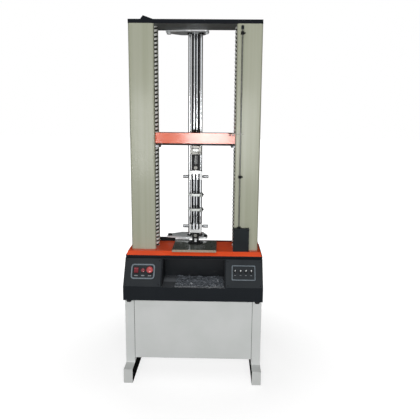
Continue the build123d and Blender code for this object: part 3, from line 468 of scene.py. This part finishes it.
screwSpec = {"radius": 18.0, "tail": 14.0, "head": 10.0, "wheel": 40.0, "rim": 43.0, "wheelHeight": 24.0,
             "rimHeight": 2.5, "frameHeight": 40.0, "wheelDrop": 11.0, "gap": 0.3, "bore": 14.2}
screwThread = {"depth": 3.0, "lead": 20.0, "width": 0.27, "step": 1.25, "around": 44}
greaseAndShadeSpec = {"crest": 0.3, "valley": 0.8}
screwAxis = sum(boxOf("right_screw")) / 2


def threadGreaseAndShade(tree):
    # grease and painted shade: grows from crest to valley, by the distance from two upright axes at plus and
    # minus X
    crest, valley = [screwSpec["radius"] - screwThread["depth"] * greaseAndShadeSpec[k] for k in ("crest", "valley")]
    spot = addNode(tree, "SeparateXYZ", Vector=addNode(tree, "TexCoord").outputs["Object"]).outputs
    side = addNode(tree, "Math", {"operation": "ABSOLUTE"}, i0=spot["X"]).outputs[0]
    x = addNode(tree, "Math", {"operation": "SUBTRACT"}, i0=side, i1=screwAxis[0] * mm).outputs[0]
    y = addNode(tree, "Math", {"operation": "SUBTRACT"}, i0=spot["Y"], i1=screwAxis[1] * mm).outputs[0]
    across = addNode(tree, "CombineXYZ", X=x, Y=y).outputs["Vector"]
    away = addNode(tree, "VectorMath", {"operation": "LENGTH"}, i0=across).outputs["Value"]
    return addNode(tree, "MapRange", Value=away, i1=crest * mm, i2=valley * mm).outputs["Result"]


def screwParts(node):
    # threaded length between the base frame and the top beam, a plain journal at each end, the pulley below
    low, high = boxOf(node)
    axis = (low + high) / 2
    c = screwSpec
    foot, crown = boxOf("base_frame")[1][2] + c["gap"], boxOf("top_beam")[0][2] - c["gap"]
    thread = helix(c["radius"], foot, crown, **screwThread)
    tail = skin(turned([(c["tail"], low[2]), (c["tail"], foot)], 40))
    head = skin(turned([(c["head"], crown), (c["head"], high[2])], 40))
    top = foot - c["frameHeight"] - c["wheelDrop"]
    under = top - c["wheelHeight"]
    bore, wheel, rim, lip = c["bore"], c["wheel"], c["rim"], c["rimHeight"]
    outline = [(bore, under), (rim, under), (rim, under + lip), (wheel, under + lip), (wheel, top - lip),
               (rim, top - lip), (rim, top), (bore, top)]
    pulley = skin(turned(outline, 64), caps=False)
    return [placed(part, (axis[0], axis[1], 0)) for part in (thread, tail, head, pulley)]


# grease and painted shade: the thread's grooves are drawn dark
overpaint(threadSteel, "#23241F", threadGreaseAndShade)
for side in ("left", "right"):
    node = side + "_screw"
    piece(side + "BallScrew", screwParts(node), threadSteel, node, [node], sharp=50)
print("ball screws done")


# fasteners

hoodTop = boxOf("crosshead_cover")[1][2]
crossBolts = {"x": 13.0, "radius": 9.5, "height": 14.0, "washer": 12.0, "washerHeight": 2.5, "socket": 9.0}
c = crossBolts
washer = skin(turned([(c["washer"], 0), (c["washer"], c["washerHeight"])]))
bolt = capScrew(c["radius"], c["height"], c["socket"])
parts = []
for x in (-c["x"], c["x"]):
    parts += [placed(washer, (x, 0, hoodTop)), placed(bolt, (x, 0, hoodTop + c["washerHeight"]))]
piece("crossheadBolts", parts, blackOxide, "crosshead")

strikerFoot = {"x": 182.0, "z": -9.5, "outline": (28.4, 13.4, 1.0, 0.5), "thick": 3.0}
strikerBolts = {"x": (175.0, 189.0), "radius": 3.8, "height": 3.0}
strikerFace = boxOf("striker_arm")[1][1] - strikerFoot["thick"]
strikerLevel = hoodTop + strikerFoot["z"]
bolt = panHead(strikerBolts["radius"], strikerBolts["height"])
parts = [placed(bolt, (x, strikerFace, strikerLevel), zAxis=toFront) for x in strikerBolts["x"]]
piece("strikerBolts", parts, footRubber, "crosshead")
paint = plaque(*strikerFoot["outline"])
parts = [placed(paint, (strikerFoot["x"], strikerFace, strikerLevel), zAxis=toFront)]
piece("strikerFootPaint", parts, hoodEnamel, "crosshead")

# screws along the outer side of each column's front and rear covers
coverScrews = {"levels": [705 + 207 * i for i in range(6)], "y": 46.0, "radius": 5.0, "height": 2.6}
columnHalf = boxOf("front_covers")[1][0]
head = panHead(coverScrews["radius"], coverScrews["height"])
parts = [placed(head, (s * columnHalf, y, z), (0, 1, 0), (s, 0, 0))
         for s in (-1, 1) for y in (-coverScrews["y"], coverScrews["y"]) for z in coverScrews["levels"]]
piece("coverScrews", parts, groundSteel, "frame")
print("fasteners done")


# console: silver frames, label strips, plate screws

shellLow, shellHigh = boxOf("console_shell")
slopeSpec = {"run": 83.0, "rise": 127.0, "top": (0.0, -156.0, 614.0), "plate": 2.0}
slopeLength = math.hypot(slopeSpec["run"], slopeSpec["rise"])
outOfSlope = np.array([0.0, -slopeSpec["rise"], slopeSpec["run"]]) / slopeLength
downSlope = np.array([0.0, -slopeSpec["run"], -slopeSpec["rise"]]) / slopeLength
controlRow = {"along": 66.0, "left": {"rocker": -286, "lamp": -252, "stop": -218},
              "right": [208 + 26.7 * i for i in range(4)]}


def onSlope(part, x, along):
    # a part set upright on the sloped plate, at a distance down from the slope's top edge
    spot = np.array(slopeSpec["top"]) + downSlope * along + outOfSlope * slopeSpec["plate"]
    return placed(part, spot + np.array([x, 0, 0]), zAxis=outOfSlope)


trimFrames = [{"x": -252.5, "along": 71.5, "outline": (119, 78, 15, 7.0, 1.4)},
              {"x": 250.0, "along": 72.0, "outline": (118, 77, 5, 4.5, 1.4)}]
parts = [onSlope(frameTrim(*c["outline"]), c["x"], c["along"]) for c in trimFrames]
piece("panelFrames", parts, trimSilver, "frame")

labels = [{"row": controlRow["left"].values(), "along": 93.0, "outline": (17.0, 5.0, 0.8, 0.5)},
          {"row": controlRow["right"], "along": 85.0, "outline": (9.0, 2.6, 0.6, 0.5)}]
parts = [onSlope(plaque(*c["outline"]), x, c["along"]) for c in labels for x in c["row"]]
piece("labelStrips", parts, labelGrey, "frame")

plateScrews = {"x": (172, 334), "along": (14, 138), "radius": 3.2, "height": 1.4}
head = panHead(plateScrews["radius"], plateScrews["height"])
parts = [onSlope(head, s * x, a) for s in (-1, 1) for x in plateScrews["x"] for a in plateScrews["along"]]
piece("plateScrews", parts, blackOxide, "frame")

leverNuts = {"flat": 13.0, "height": 2.0, "chamfer": 0.4, "taper": 1.0}
c = leverNuts
nut = skin(raised([hexagon(c["flat"] - d) for d in (0, 0, c["taper"])],
                  [0, c["height"] - c["chamfer"], c["height"]]))
parts = [onSlope(nut, x, controlRow["along"]) for x in controlRow["right"]]
piece("leverNuts", parts, blackOxide, "frame")
print("console trim done")


# load string: base flange and stud, grip screws, jaws, pin heads, load cell fittings

flangeSpec = {"radius": 40.0, "height": 6.0, "lip": 3.0, "stud": 6.5, "sunk": 0.2}
flangeBolts = {"ring": 26.0, "count": 6, "radius": 4.0, "height": 3.6, "socket": 3.6}
studThread = {"depth": 0.5, "lead": 2.0, "width": 0.4, "step": 0.25, "around": 40}
studLow, studHigh = boxOf("base_stud")
flangeTop = studLow[2] + flangeSpec["height"]
rim = [(flangeSpec["radius"], studLow[2])] + softEdge(flangeSpec["radius"], flangeTop, flangeSpec["lip"])
bolt = capScrew(flangeBolts["radius"], flangeBolts["height"], flangeBolts["socket"])
parts = [placed(skin(turned(rim + [(flangeSpec["stud"], flangeTop)], 72)))]
for i in range(flangeBolts["count"]):
    turn = 2 * math.pi * (i + 0.5) / flangeBolts["count"]
    spot = (flangeBolts["ring"] * math.cos(turn), flangeBolts["ring"] * math.sin(turn), flangeTop)
    parts.append(placed(bolt, spot))
piece("baseFlange", parts, blackOxide, "frame", ["base_stud"])
# the bare stud, drawn pale as a painted highlight down its middle
stud = helix(flangeSpec["stud"], flangeTop - flangeSpec["sunk"], studHigh[2], **studThread)
piece("baseStud", [placed(stud)], nickelPaintedHighlight, "frame")

# stud seen in the window of the upper joint, drawn pale as a painted highlight
windowSpec = {"foot": 31.0, "bridge": 6.0, "stud": 6.7}
jointLow, jointHigh = boxOf("upper_joint")
stud = helix(windowSpec["stud"], jointLow[2] + windowSpec["foot"], jointHigh[2] - windowSpec["bridge"],
             **studThread)
piece("cellStud", [placed(stud)], nickelPaintedHighlight, "crosshead")

knobSpec = {"radius": 8.5, "length": 29.0, "chamfer": 1.6, "knurl": 0.35, "teeth": 36, "slope": 0.12,
            "around": 144, "rows": 50, "socket": 7.0, "socketDepth": 4.0}
spindleSpec = {"radius": 6.0, "sunk": 0.2}
spindleThread = {"depth": 0.55, "lead": 2.0, "width": 0.4, "step": 0.25, "around": 32}


def knurled(radius, length, chamfer, knurl, teeth, slope, around, rows, socket, socketDepth):
    # radius = chamfered cylinder plus crossed ridges: the product of two sines that lean opposite ways
    angle = np.linspace(0, 2 * np.pi, around, endpoint=False)
    along = np.linspace(0, length, rows)
    inset = np.clip(chamfer - np.minimum(along, length - along), 0, None)
    lean = along[:, None] * slope
    ridge = np.abs(np.sin(teeth / 2 * (angle[None] + lean)) * np.sin(teeth / 2 * (angle[None] - lean)))
    reach = radius - knurl - inset[:, None] + knurl * ridge * (inset[:, None] <= 0)
    heights = np.broadcast_to(along[:, None], reach.shape)
    side = np.stack([reach * np.cos(angle), reach * np.sin(angle), heights], -1)
    hole = raised([hexagon(socket, around), hexagon(socket, around)], [length, length - socketDepth])
    return skin(np.concatenate([side, hole]))


def plainKnob(radius, length):
    # the same knob, smaller, with fewer teeth and a shallow dimple for its socket
    return knurled(**dict(knobSpec, radius=radius, length=length, chamfer=0.8, knurl=0.4, teeth=24, around=96,
                          rows=16, socket=radius * 0.7, socketDepth=0.6))


def gripScrew(node):
    # spindle thread and knurled knob along X, on the side where the screw sits
    low, high = boxOf(node)
    hand = 1 if low[0] + high[0] > 0 else -1
    inner, outer = sorted((abs(low[0]), abs(high[0])))
    start = outer - knobSpec["length"]
    spindle = helix(spindleSpec["radius"], inner, start + spindleSpec["sunk"], **spindleThread)
    middle = (low + high) / 2
    return [placed(part, (x, middle[1], middle[2]), (0, 0, 1), (hand, 0, 0))
            for part, x in ((spindle, 0), (knurled(**knobSpec), hand * start))]


toothSpec = {"pitch": 1.5, "height": 0.5, "perTooth": 4}


def serratedJaw(node):
    # gripping face of small pyramids: the lower of two triangle waves
    low, high = boxOf(node)
    hand = 1 if low[0] + high[0] > 0 else -1
    size, middle = high - low, (low + high) / 2
    c = toothSpec
    rows = [np.linspace(-size[i] / 2, size[i] / 2, int(size[i] / c["pitch"] * c["perTooth"]) + 1)
            for i in (1, 2)]
    gx, gy = np.meshgrid(*rows, indexing="ij")
    wave = [1 - np.abs((g / c["pitch"]) % 1.0 * 2 - 1) for g in (gx, gy)]
    height = size[0] - c["height"] + c["height"] * np.minimum(*wave)
    origin = (hand * max(abs(low[0]), abs(high[0])), middle[1], middle[2])
    return [placed(part, origin, (0, 1, 0), (-hand, 0, 0)) for part in boxedFace(gx, gy, height, 0.0)]


for place in ("upper", "lower"):
    for hand in ("left", "right"):
        node = place + "_" + hand + "_grip_screw"
        piece(place + hand.title() + "GripScrew", gripScrew(node), knobSteel, node, [node])
        node = place + "_" + hand + "_jaw"
        piece(place + hand.title() + "Jaw", serratedJaw(node), groundSteel, node, [node],
              sharp=20)


def crossedDisc(radius, thick, slot, depth, around=64, rings=16):
    # polar grid whose height drops in a diagonal cross
    reach = np.linspace(radius, radius * 0.02, rings)
    angle = np.linspace(0, 2 * np.pi, around, endpoint=False)
    gx, gy = reach[:, None] * np.cos(angle), reach[:, None] * np.sin(angle)
    away = np.minimum(np.abs(gx + gy), np.abs(gx - gy)) / math.sqrt(2)
    cut = np.clip(1 - (away / slot * 2) ** 4, 0, 1) * (reach[:, None] < radius * 0.8)
    face = np.stack([gx, gy, thick - depth * cut], -1)
    return skin(np.concatenate([raised([circle(radius, around)], [0]), face]))


pinSpec = {"radius": 8.2, "thick": 1.6, "slot": 2.2, "depth": 1.0}
pinInset = 13.0  # from the fork's open end to the pin
disc = crossedDisc(**pinSpec)
for place, body, level in (("upper", "crosshead", boxOf("upper_joint")[0][2] + pinInset),
                           ("lower", "frame", boxOf("lower_joint")[1][2] - pinInset)):
    low, high = boxOf(place + "_grip_body")
    parts = [placed(disc, (0, y, level), zAxis=(0, out, 0)) for y, out in ((low[1], -1), (high[1], 1))]
    piece(place + "PinHeads", parts, cellSteel, body)

cellSpec = {"screws": ((-15, 36), (15, 6), (-21, 5), (21, 37)), "radius": 2.6, "screwHeight": 1.4,
            "socket": 2.4, "plate": (26, 12, 1.0, 0.5), "plateSpot": (0, 21), "height": 48.0}
cellLow, cellHigh = boxOf("load_cell")
cellFoot = cellHigh[2] - cellSpec["height"]
screw = capScrew(cellSpec["radius"], cellSpec["screwHeight"], cellSpec["socket"])
parts = [placed(screw, (x, cellLow[1], cellFoot + z), zAxis=toFront) for x, z in cellSpec["screws"]]
piece("cellScrews", parts, blackOxide, "crosshead")
x, z = cellSpec["plateSpot"]
parts = [placed(plaque(*cellSpec["plate"]), (x, cellLow[1], cellFoot + z), zAxis=toFront)]
piece("cellPlate", parts, satinAlloy, "crosshead")
print("load string done")


# base plate: bare ground edge; table: black strip along its rear

plateLow, plateHigh = boxOf("base_plate")
plateSize, plateMiddle = plateHigh - plateLow, (plateLow + plateHigh) / 2
edgeSpec = {"grow": 0.8, "radius": 1.5, "band": 1.4, "inset": 0.1}
c = edgeSpec
ring = frameTrim(plateSize[0] + c["grow"], plateSize[1] + c["grow"], c["radius"], c["band"],
                 plateSize[2] - 2 * c["inset"])
parts = [placed(ring, (plateMiddle[0], plateMiddle[1], plateLow[2] + c["inset"]))]
piece("plateEdge", parts, bareEdge, "frame")

rearStrip = {"outline": (398.0, 9.0, 1.0, 5.0), "y": 86.0}
parts = [placed(plaque(*rearStrip["outline"]), (0, rearStrip["y"], plateLow[2]))]
piece("tableRearStrip", parts, footRubber, "frame")
print("table fittings done")


# extensometer: plate edges drawn pale as a painted highlight, rod collars, knobs

swingLow, swingHigh = boxOf("swing_plates")
swingPlate = {"thick": 8.0, "edge": (108.0, 7.2, 0.8, 0.5), "edgeX": -3.0, "edgeY": 66.0}
railSpec = {"middle": -9.0, "half": 30.0, "y": 112.0}
collarSpec = {"bore": 8.1, "radius": 12.0, "height": 7.0, "lip": 1.0}
levels = [swingLow[2], swingHigh[2] - swingPlate["thick"]]
facing = [(levels[0] + swingPlate["thick"], 1), (levels[1], -1)]
c = swingPlate
edge = plaque(*c["edge"])
parts = [placed(edge, (c["edgeX"], c["edgeY"], z + c["thick"] / 2), zAxis=toFront) for z in levels]
# front edges of the swing plates: pale strips, a painted highlight
piece("swingPlateEdges", parts, nickelPaintedHighlight, "extensometer")
collar = boredRing(**collarSpec)
parts = [placed(collar, (railSpec["middle"] + s * railSpec["half"], railSpec["y"], z), zAxis=(0, 0, up))
         for s in (-1, 1) for z, up in facing]
piece("railCollars", parts, blackOxide, "extensometer")

# knobs between the swing plates: the lower ones black, the upper ones bare
clampSpec = {"x": 50.0, "y": 82.0, "radius": 8.5, "length": 11.0}
pivotSpec = {"x": -147.0, "y": 106.5, "radius": 11.5, "length": 9.4, "gap": 0.3}
knobLooks = (("lower", blackAnodised, "black_plastic"), ("upper", millAlloy, "light_alloy"))
for spec, kind, body, gap in ((clampSpec, "ClampKnob", "extensometer", 0.0),
                              (pivotSpec, "PivotKnob", "frame", pivotSpec["gap"])):
    knob = plainKnob(spec["radius"], spec["length"])
    for (place, material, slotName), (z, up) in zip(knobLooks, facing):
        parts = [placed(knob, (spec["x"], spec["y"], z + up * gap), zAxis=(0, 0, up))]
        piece(place + kind, parts, material, body)

# front edge of the ledge: a pale strip, a painted highlight
ledge = {"x": -78.5, "outline": (74.0, 10.5, 0.8, 0.6), "drop": 7.0, "reach": 14.0}
ledgeLevel = boxOf("extensometer_brackets")[0][2] + ledge["drop"]
ledgeSpot = (ledge["x"], pivotSpec["y"] - ledge["reach"], ledgeLevel)
parts = [placed(plaque(*ledge["outline"]), ledgeSpot, zAxis=toFront)]
piece("ledgeEdge", parts, nickelPaintedHighlight, "frame")

carriageScrew = {"radius": 4.0, "length": 4.5, "reach": 13.0}
screw = plainKnob(carriageScrew["radius"], carriageScrew["length"])
for place in ("upper", "lower"):
    low, high = boxOf(place + "_carriage")
    x = railSpec["middle"] + railSpec["half"] + carriageScrew["reach"]
    parts = [placed(screw, (x, railSpec["y"], (low[2] + high[2]) / 2), (0, 0, 1), (1, 0, 0))]
    piece(place + "CarriageScrew", parts, blackAnodised, place + "_carriage")
print("extensometer fittings done")


# limit switch: gland, lid screws, collar screws

boxLow = boxOf("limit_switch_box")[0]
rodMiddle = sum(boxOf("limit_rod")) / 2
switchSpec = {"width": 80.0, "height": 119.0, "inset": 8.0, "screw": 2.8, "screwHeight": 1.2}
glandSpec = {"bore": 4.2, "radius": 9.0, "height": 7.0, "lip": 2.0, "count": 40}
collarScrews = {"z": (1024, 1712), "radius": 3.6, "length": 7.0, "reach": 7.0}
boxTop = boxLow[2] + switchSpec["height"]
parts = [placed(boredRing(**glandSpec), (rodMiddle[0], rodMiddle[1], boxTop))]
boxX = boxLow[0] + switchSpec["width"] / 2
across = switchSpec["width"] / 2 - switchSpec["inset"]
screw = panHead(switchSpec["screw"], switchSpec["screwHeight"])
parts += [placed(screw, (boxX + s * across, boxLow[1], z), zAxis=toFront) for s in (-1, 1)
          for z in (boxLow[2] + switchSpec["inset"], boxTop - switchSpec["inset"])]
piece("switchBoxFittings", parts, blackOxide, "frame")
screw = plainKnob(collarScrews["radius"], collarScrews["length"])
parts = [placed(screw, (rodMiddle[0] + collarScrews["reach"], rodMiddle[1], z), (0, 0, 1), (1, 0, 0))
         for z in collarScrews["z"]]
piece("collarScrews", parts, blackOxide, "limit_rod")
print("limit switch fittings done")


# tray: creased vinyl mat

matSpec = {"x": (-92, 152), "y": (-232, -66), "step": 1.6, "lift": 13.0, "thick": 0.4, "gap": 0.1, "seed": 4,
           "folds": (12, 22, 60), "wrinkles": (16, 9, 20), "wrinkleShare": 0.35}


def creasedMat(spec):
    # height = the folds and finer wrinkles of crossing waves, each the cube of one less a rectified sine
    rng = np.random.default_rng(spec["seed"])
    gx, gy = np.meshgrid(np.arange(*spec["x"], spec["step"]), np.arange(*spec["y"], spec["step"]),
                         indexing="ij")
    height = np.zeros_like(gx)
    for (count, short, long), share in ((spec["folds"], 1.0), (spec["wrinkles"], spec["wrinkleShare"])):
        heading, phase = rng.uniform(0, np.pi, (count, 1, 1)), rng.uniform(0, 6.28, (count, 1, 1))
        length = rng.uniform(short, long, (count, 1, 1))
        wave = np.abs(np.sin((gx * np.cos(heading) + gy * np.sin(heading)) / length * np.pi + phase))
        height += share * ((1 - wave) ** 3).sum(0)
    height *= spec["lift"] / height.max()
    return boxedFace(gx, gy, trayFloor + spec["thick"] + height, trayFloor + spec["gap"])


parts = [placed(part) for part in creasedMat(matSpec)]
piece("trayMat", parts, matVinyl, "frame", sharp=60)
print("tray mat done")


# controls: mushroom cap, lamp lens, rocker and its bezel

def onControl(part, control):
    # a part set in its place in the left row of controls
    return onSlope(part, controlRow["left"][control], controlRow["along"])


capSpec = {"stem": 7.0, "drop": -8.0, "under": 10.0, "radius": 17.0, "edge": 0.8, "rim": 13.0, "top": 20.0}
c = capSpec
profile = [(c["stem"], c["drop"]), (c["stem"], c["under"]), (c["radius"] - c["edge"], c["under"]),
           (c["radius"], c["under"] + c["edge"])] + dome(c["radius"], c["rim"], c["top"])
parts = [onControl(skin(turned(profile, 64)), "stop")]
piece("stopCap", parts, redPlastic, "stop_button", ["stop_button"])

lensSpec = {"neck": 8.8, "radius": 10.6, "under": 3.6, "rim": 4.2, "top": 8.0}
c = lensSpec
profile = [(c["neck"], 0.0), (c["neck"], c["under"]), (c["radius"], c["under"])]
parts = [onControl(skin(turned(profile + dome(c["radius"], c["rim"], c["top"]), 48)), "lamp")]
piece("lampLens", parts, lampRed, "frame", ["pilot_lamp"])

rockerSpec = {"width": 20.6, "length": 26.6, "low": 1.4, "rise": 3.4, "base": -3.0}
bezelSpec = {"width": 26.5, "height": 33.5, "radius": 2.5, "band": 2.4, "lift": 2.2}
gx, gy = np.meshgrid(np.linspace(-0.5, 0.5, 13) * rockerSpec["width"],
                     np.linspace(-0.5, 0.5, 25) * rockerSpec["length"], indexing="ij")
# saddle: rises with the square of the distance from the pivot
height = rockerSpec["low"] + rockerSpec["rise"] * (2 * gy / rockerSpec["length"]) ** 2
parts = [onControl(part, "rocker") for part in boxedFace(gx, gy, height, rockerSpec["base"])]
piece("rockerKey", parts, rockerRed, "power_rocker", ["power_rocker"])
parts = [onControl(frameTrim(**bezelSpec), "rocker")]
piece("rockerBezel", parts, blackAnodised, "frame")
print("controls done")


# stand: dark joint between the front panel and each leg

panelLow, panelHigh = boxOf("stand_panel")
seamSpec = {"width": 1.8, "lift": 0.3, "radius": 0.4, "short": 1.0}
c = seamSpec
seam = plaque(c["width"], panelHigh[2] - panelLow[2] - c["short"], c["radius"], c["lift"])
seamX, seamZ = panelHigh[0] - c["width"] / 2, (panelLow[2] + panelHigh[2]) / 2
parts = [placed(seam, (s * seamX, panelLow[1], seamZ), zAxis=toFront) for s in (-1, 1)]
piece("panelSeams", parts, footRubber, "frame")
print("stand seams done")


# fasteners out of the camera's sight: top cover and the console's back

topScrews = {"x": 300, "y": 70, "z": 1776.0, "radius": 4.0, "height": 1.8}
head = panHead(topScrews["radius"], topScrews["height"])
parts = [placed(head, (sx * topScrews["x"], sy * topScrews["y"], topScrews["z"]))
         for sx in (-1, 1) for sy in (-1, 1)]
piece("topCoverScrews", parts, blackOxide, "frame")
backScrews = {"x": (110, 325), "inset": 16, "radius": 3.6, "height": 1.6}
head = panHead(backScrews["radius"], backScrews["height"])
parts = [placed(head, (sx * x, shellHigh[1], z), zAxis=(0, 1, 0)) for sx in (-1, 1) for x in backScrews["x"]
         for z in (shellLow[2] + backScrews["inset"], shellHigh[2] - backScrews["inset"])]
piece("consoleBackScrews", parts, blackOxide, "frame")
print("hidden fasteners done")


# camera, light and floor

cameraSpec = {"pitch": 10.13, "yaw": -1.09, "roll": -0.54, "focalPixels": 493.67, "middle": (211.95, 206.58),
              "pictureWidth": 420.0, "sensor": 36.0, "place": (0.1346, -2.56095, 1.3113), "clipEnd": 100.0}


def addObject(name, data, axes=None, place=(0, 0, 0)):
    # an object in the scene; axes are its own X, Y and Z directions
    obj = bpy.data.objects.new(name, data)
    bpy.context.scene.collection.objects.link(obj)
    if axes is not None:
        turn = Matrix(np.stack(axes, -1).tolist()).to_4x4()
        turn.translation = place
        obj.matrix_world = turn
    return obj


def photoCamera(c):
    # looks along Y turned by yaw and pitch, then rolls about its own axis
    pitch, yaw, roll = [math.radians(c[k]) for k in ("pitch", "yaw", "roll")]
    ahead = np.array([math.sin(yaw) * math.cos(pitch), math.cos(yaw) * math.cos(pitch), -math.sin(pitch)])
    right = np.array([math.cos(yaw), -math.sin(yaw), 0.0])
    down = np.cross(ahead, right)
    xAxis = right * math.cos(roll) + down * math.sin(roll)
    yAxis = -(down * math.cos(roll) - right * math.sin(roll))
    camera = bpy.data.cameras.new("photoCamera")
    camera.sensor_fit = "HORIZONTAL"
    camera.sensor_width = c["sensor"]
    camera.lens = c["focalPixels"] * c["sensor"] / c["pictureWidth"]
    camera.shift_x = -(c["middle"][0] - c["pictureWidth"] / 2) / c["pictureWidth"]
    camera.shift_y = (c["middle"][1] - c["pictureWidth"] / 2) / c["pictureWidth"]
    camera.clip_end = c["clipEnd"]
    bpy.context.scene.camera = addObject("photoCamera", camera, (xAxis, yAxis, -ahead), c["place"])


def softBox(name, place, aim, size, power, mirrored=True):
    # rectangle lamp whose Z points away from its aim; one that isn't mirrored gives light but no reflection
    lamp = bpy.data.lights.new(name, "AREA")
    lamp.shape = "RECTANGLE"
    lamp.size, lamp.size_y = size
    lamp.energy = power
    back = np.array(place, float) - np.array(aim, float)
    back /= np.linalg.norm(back)
    right = np.cross((0, 0, 1), back)
    right /= np.linalg.norm(right)
    box = addObject(name, lamp, (right, np.cross(back, right), back), place)
    if not mirrored:
        box.visible_glossy = box.visible_camera = False


lampSpecs = {
    "flashBox": {"place": (0.0, -2.75, 1.13), "aim": (0.0, 0, 1.12), "size": (0.46, 0.32), "power": 13.0},
    "leftBox": {"place": (-0.66, -2.6, 1.15), "aim": (-0.26, 0, 1.1), "size": (0.14, 0.8), "power": 6.5},
    "rightBox": {"place": (0.39, -2.6, 1.15), "aim": (0.26, 0, 1.1), "size": (0.08, 0.8), "power": 4.5},
    "topBox": {"place": (-0.3, -1.4, 3.4), "aim": (0, 0, 0.9), "size": (2.4, 1.4), "power": 12.0},
    "keyBox": {"place": (0.4, -4.2, 1.6), "aim": (0, 0, 0.9), "size": (2.4, 2.0), "power": 88.0,
               "mirrored": False},
    "backBox": {"place": (-0.7, 3.8, 2.2), "aim": (0, 0, 0.9), "size": (2.6, 2.2), "power": 45.0,
                "mirrored": False},
}
photoCamera(cameraSpec)
for name, spec in lampSpecs.items():
    softBox(name, **spec)


def seenBy(tree, *kinds):
    # 1 on the named kinds of ray: the greatest of their flags
    flags = addNode(tree, "LightPath").outputs
    seen = flags[kinds[0]]
    for kind in kinds[1:]:
        seen = addNode(tree, "Math", {"operation": "MAXIMUM"}, i0=seen, i1=flags[kind]).outputs[0]
    return seen


# white to the camera, to mirrors and through glass, and only a faint fill on the object
world = bpy.data.worlds.new("studioWorld")
bpy.context.scene.world = world
world.use_nodes = True
tree = world.node_tree
tree.nodes.clear()
seen = seenBy(tree, "Is Camera Ray", "Is Glossy Ray", "Is Transmission Ray")
strength = addNode(tree, "MapRange", Value=seen, i3=0.08, i4=1.0).outputs["Result"]
glow = addNode(tree, "Background", Color=(1, 1, 1, 1), Strength=strength)
tree.links.new(glow.outputs["Background"], addNode(tree, "OutputWorld").inputs["Surface"])

floorSpec = {"half": 30.0, "drop": 0.0002, "bounce": "#262626", "seen": "#F8F8F8", "glow": 1.25,
             "near": 0.5, "far": 1.6, "nearGlow": 0.6}


def floorPlane(c):
    # flat grid; its paper keeps the shadow near the object and fades into white with distance
    row = np.linspace(-c["half"], c["half"], 5)
    gx, gy = np.meshgrid(row, row, indexing="ij")
    points, (quads,) = sheet(np.stack([gx, gy, np.full_like(gx, -c["drop"])], -1))
    mesh = bpy.data.meshes.new("studioFloor")
    mesh.from_pydata(points.tolist(), [], quads[:, ::-1].tolist())
    material = bpy.data.materials.new("floorPaper")
    material.use_nodes = True
    tree = material.node_tree
    tree.nodes.clear()
    seen = seenBy(tree, "Is Camera Ray", "Is Glossy Ray")
    tone = addNode(tree, "Mix", {"data_type": "RGBA"}, i0=seen, i6=linear(c["bounce"]), i7=linear(c["seen"]))
    paper = addNode(tree, "BsdfDiffuse", Color=tone.outputs[2])
    white = addNode(tree, "Emission", Color=(1, 1, 1, 1), Strength=c["glow"])
    place = addNode(tree, "TexCoord").outputs["Object"]
    away = addNode(tree, "VectorMath", {"operation": "LENGTH"}, i0=place).outputs["Value"]
    fade = addNode(tree, "MapRange", Value=away, i1=c["near"], i2=c["far"], i3=c["nearGlow"], i4=1.0)
    share = addNode(tree, "Math", {"operation": "MULTIPLY"}, i0=seen, i1=fade.outputs["Result"]).outputs[0]
    mix = addNode(tree, "MixShader", i0=share, i1=paper.outputs[0], i2=white.outputs[0])
    tree.links.new(mix.outputs[0], addNode(tree, "OutputMaterial").inputs["Surface"])
    mesh.materials.append(material)
    addObject("studioFloor", mesh)


floorPlane(floorSpec)

cardSpec = {"side": 1.5, "front": -0.25, "rear": 1.8, "height": 2.6}
# black card: matt, so that it gives no highlight of its own
cardBlack = finish("cardBlack", "#3A3A3A", "#404040", 0.9, patch=400, grain=4, spec=0.0)


def darkCard(name, start, end):
    # upright grid between two floor points that only mirror reflections see, so bright metal gets dark edges
    along, up = np.meshgrid(np.linspace(0, 1, 4), np.linspace(0.0, cardSpec["height"], 4), indexing="ij")
    path = np.array(start, float) + along[..., None] * (np.array(end, float) - np.array(start, float))
    points, (quads,) = sheet(np.concatenate([path, up[..., None]], -1))
    mesh = bpy.data.meshes.new(name)
    mesh.from_pydata(points.tolist(), [], quads.tolist())
    mesh.materials.append(cardBlack)
    card = addObject(name, mesh)
    card.visible_camera = card.visible_diffuse = card.visible_transmission = card.visible_shadow = False


side, front, rear = [cardSpec[k] for k in ("side", "front", "rear")]
darkCard("leftCard", (-side, front), (-side, rear))
darkCard("rightCard", (side, front), (side, rear))
darkCard("backCard", (-side, rear), (side, rear))
bpy.context.scene.view_settings.view_transform = "Standard"
print("studio done")
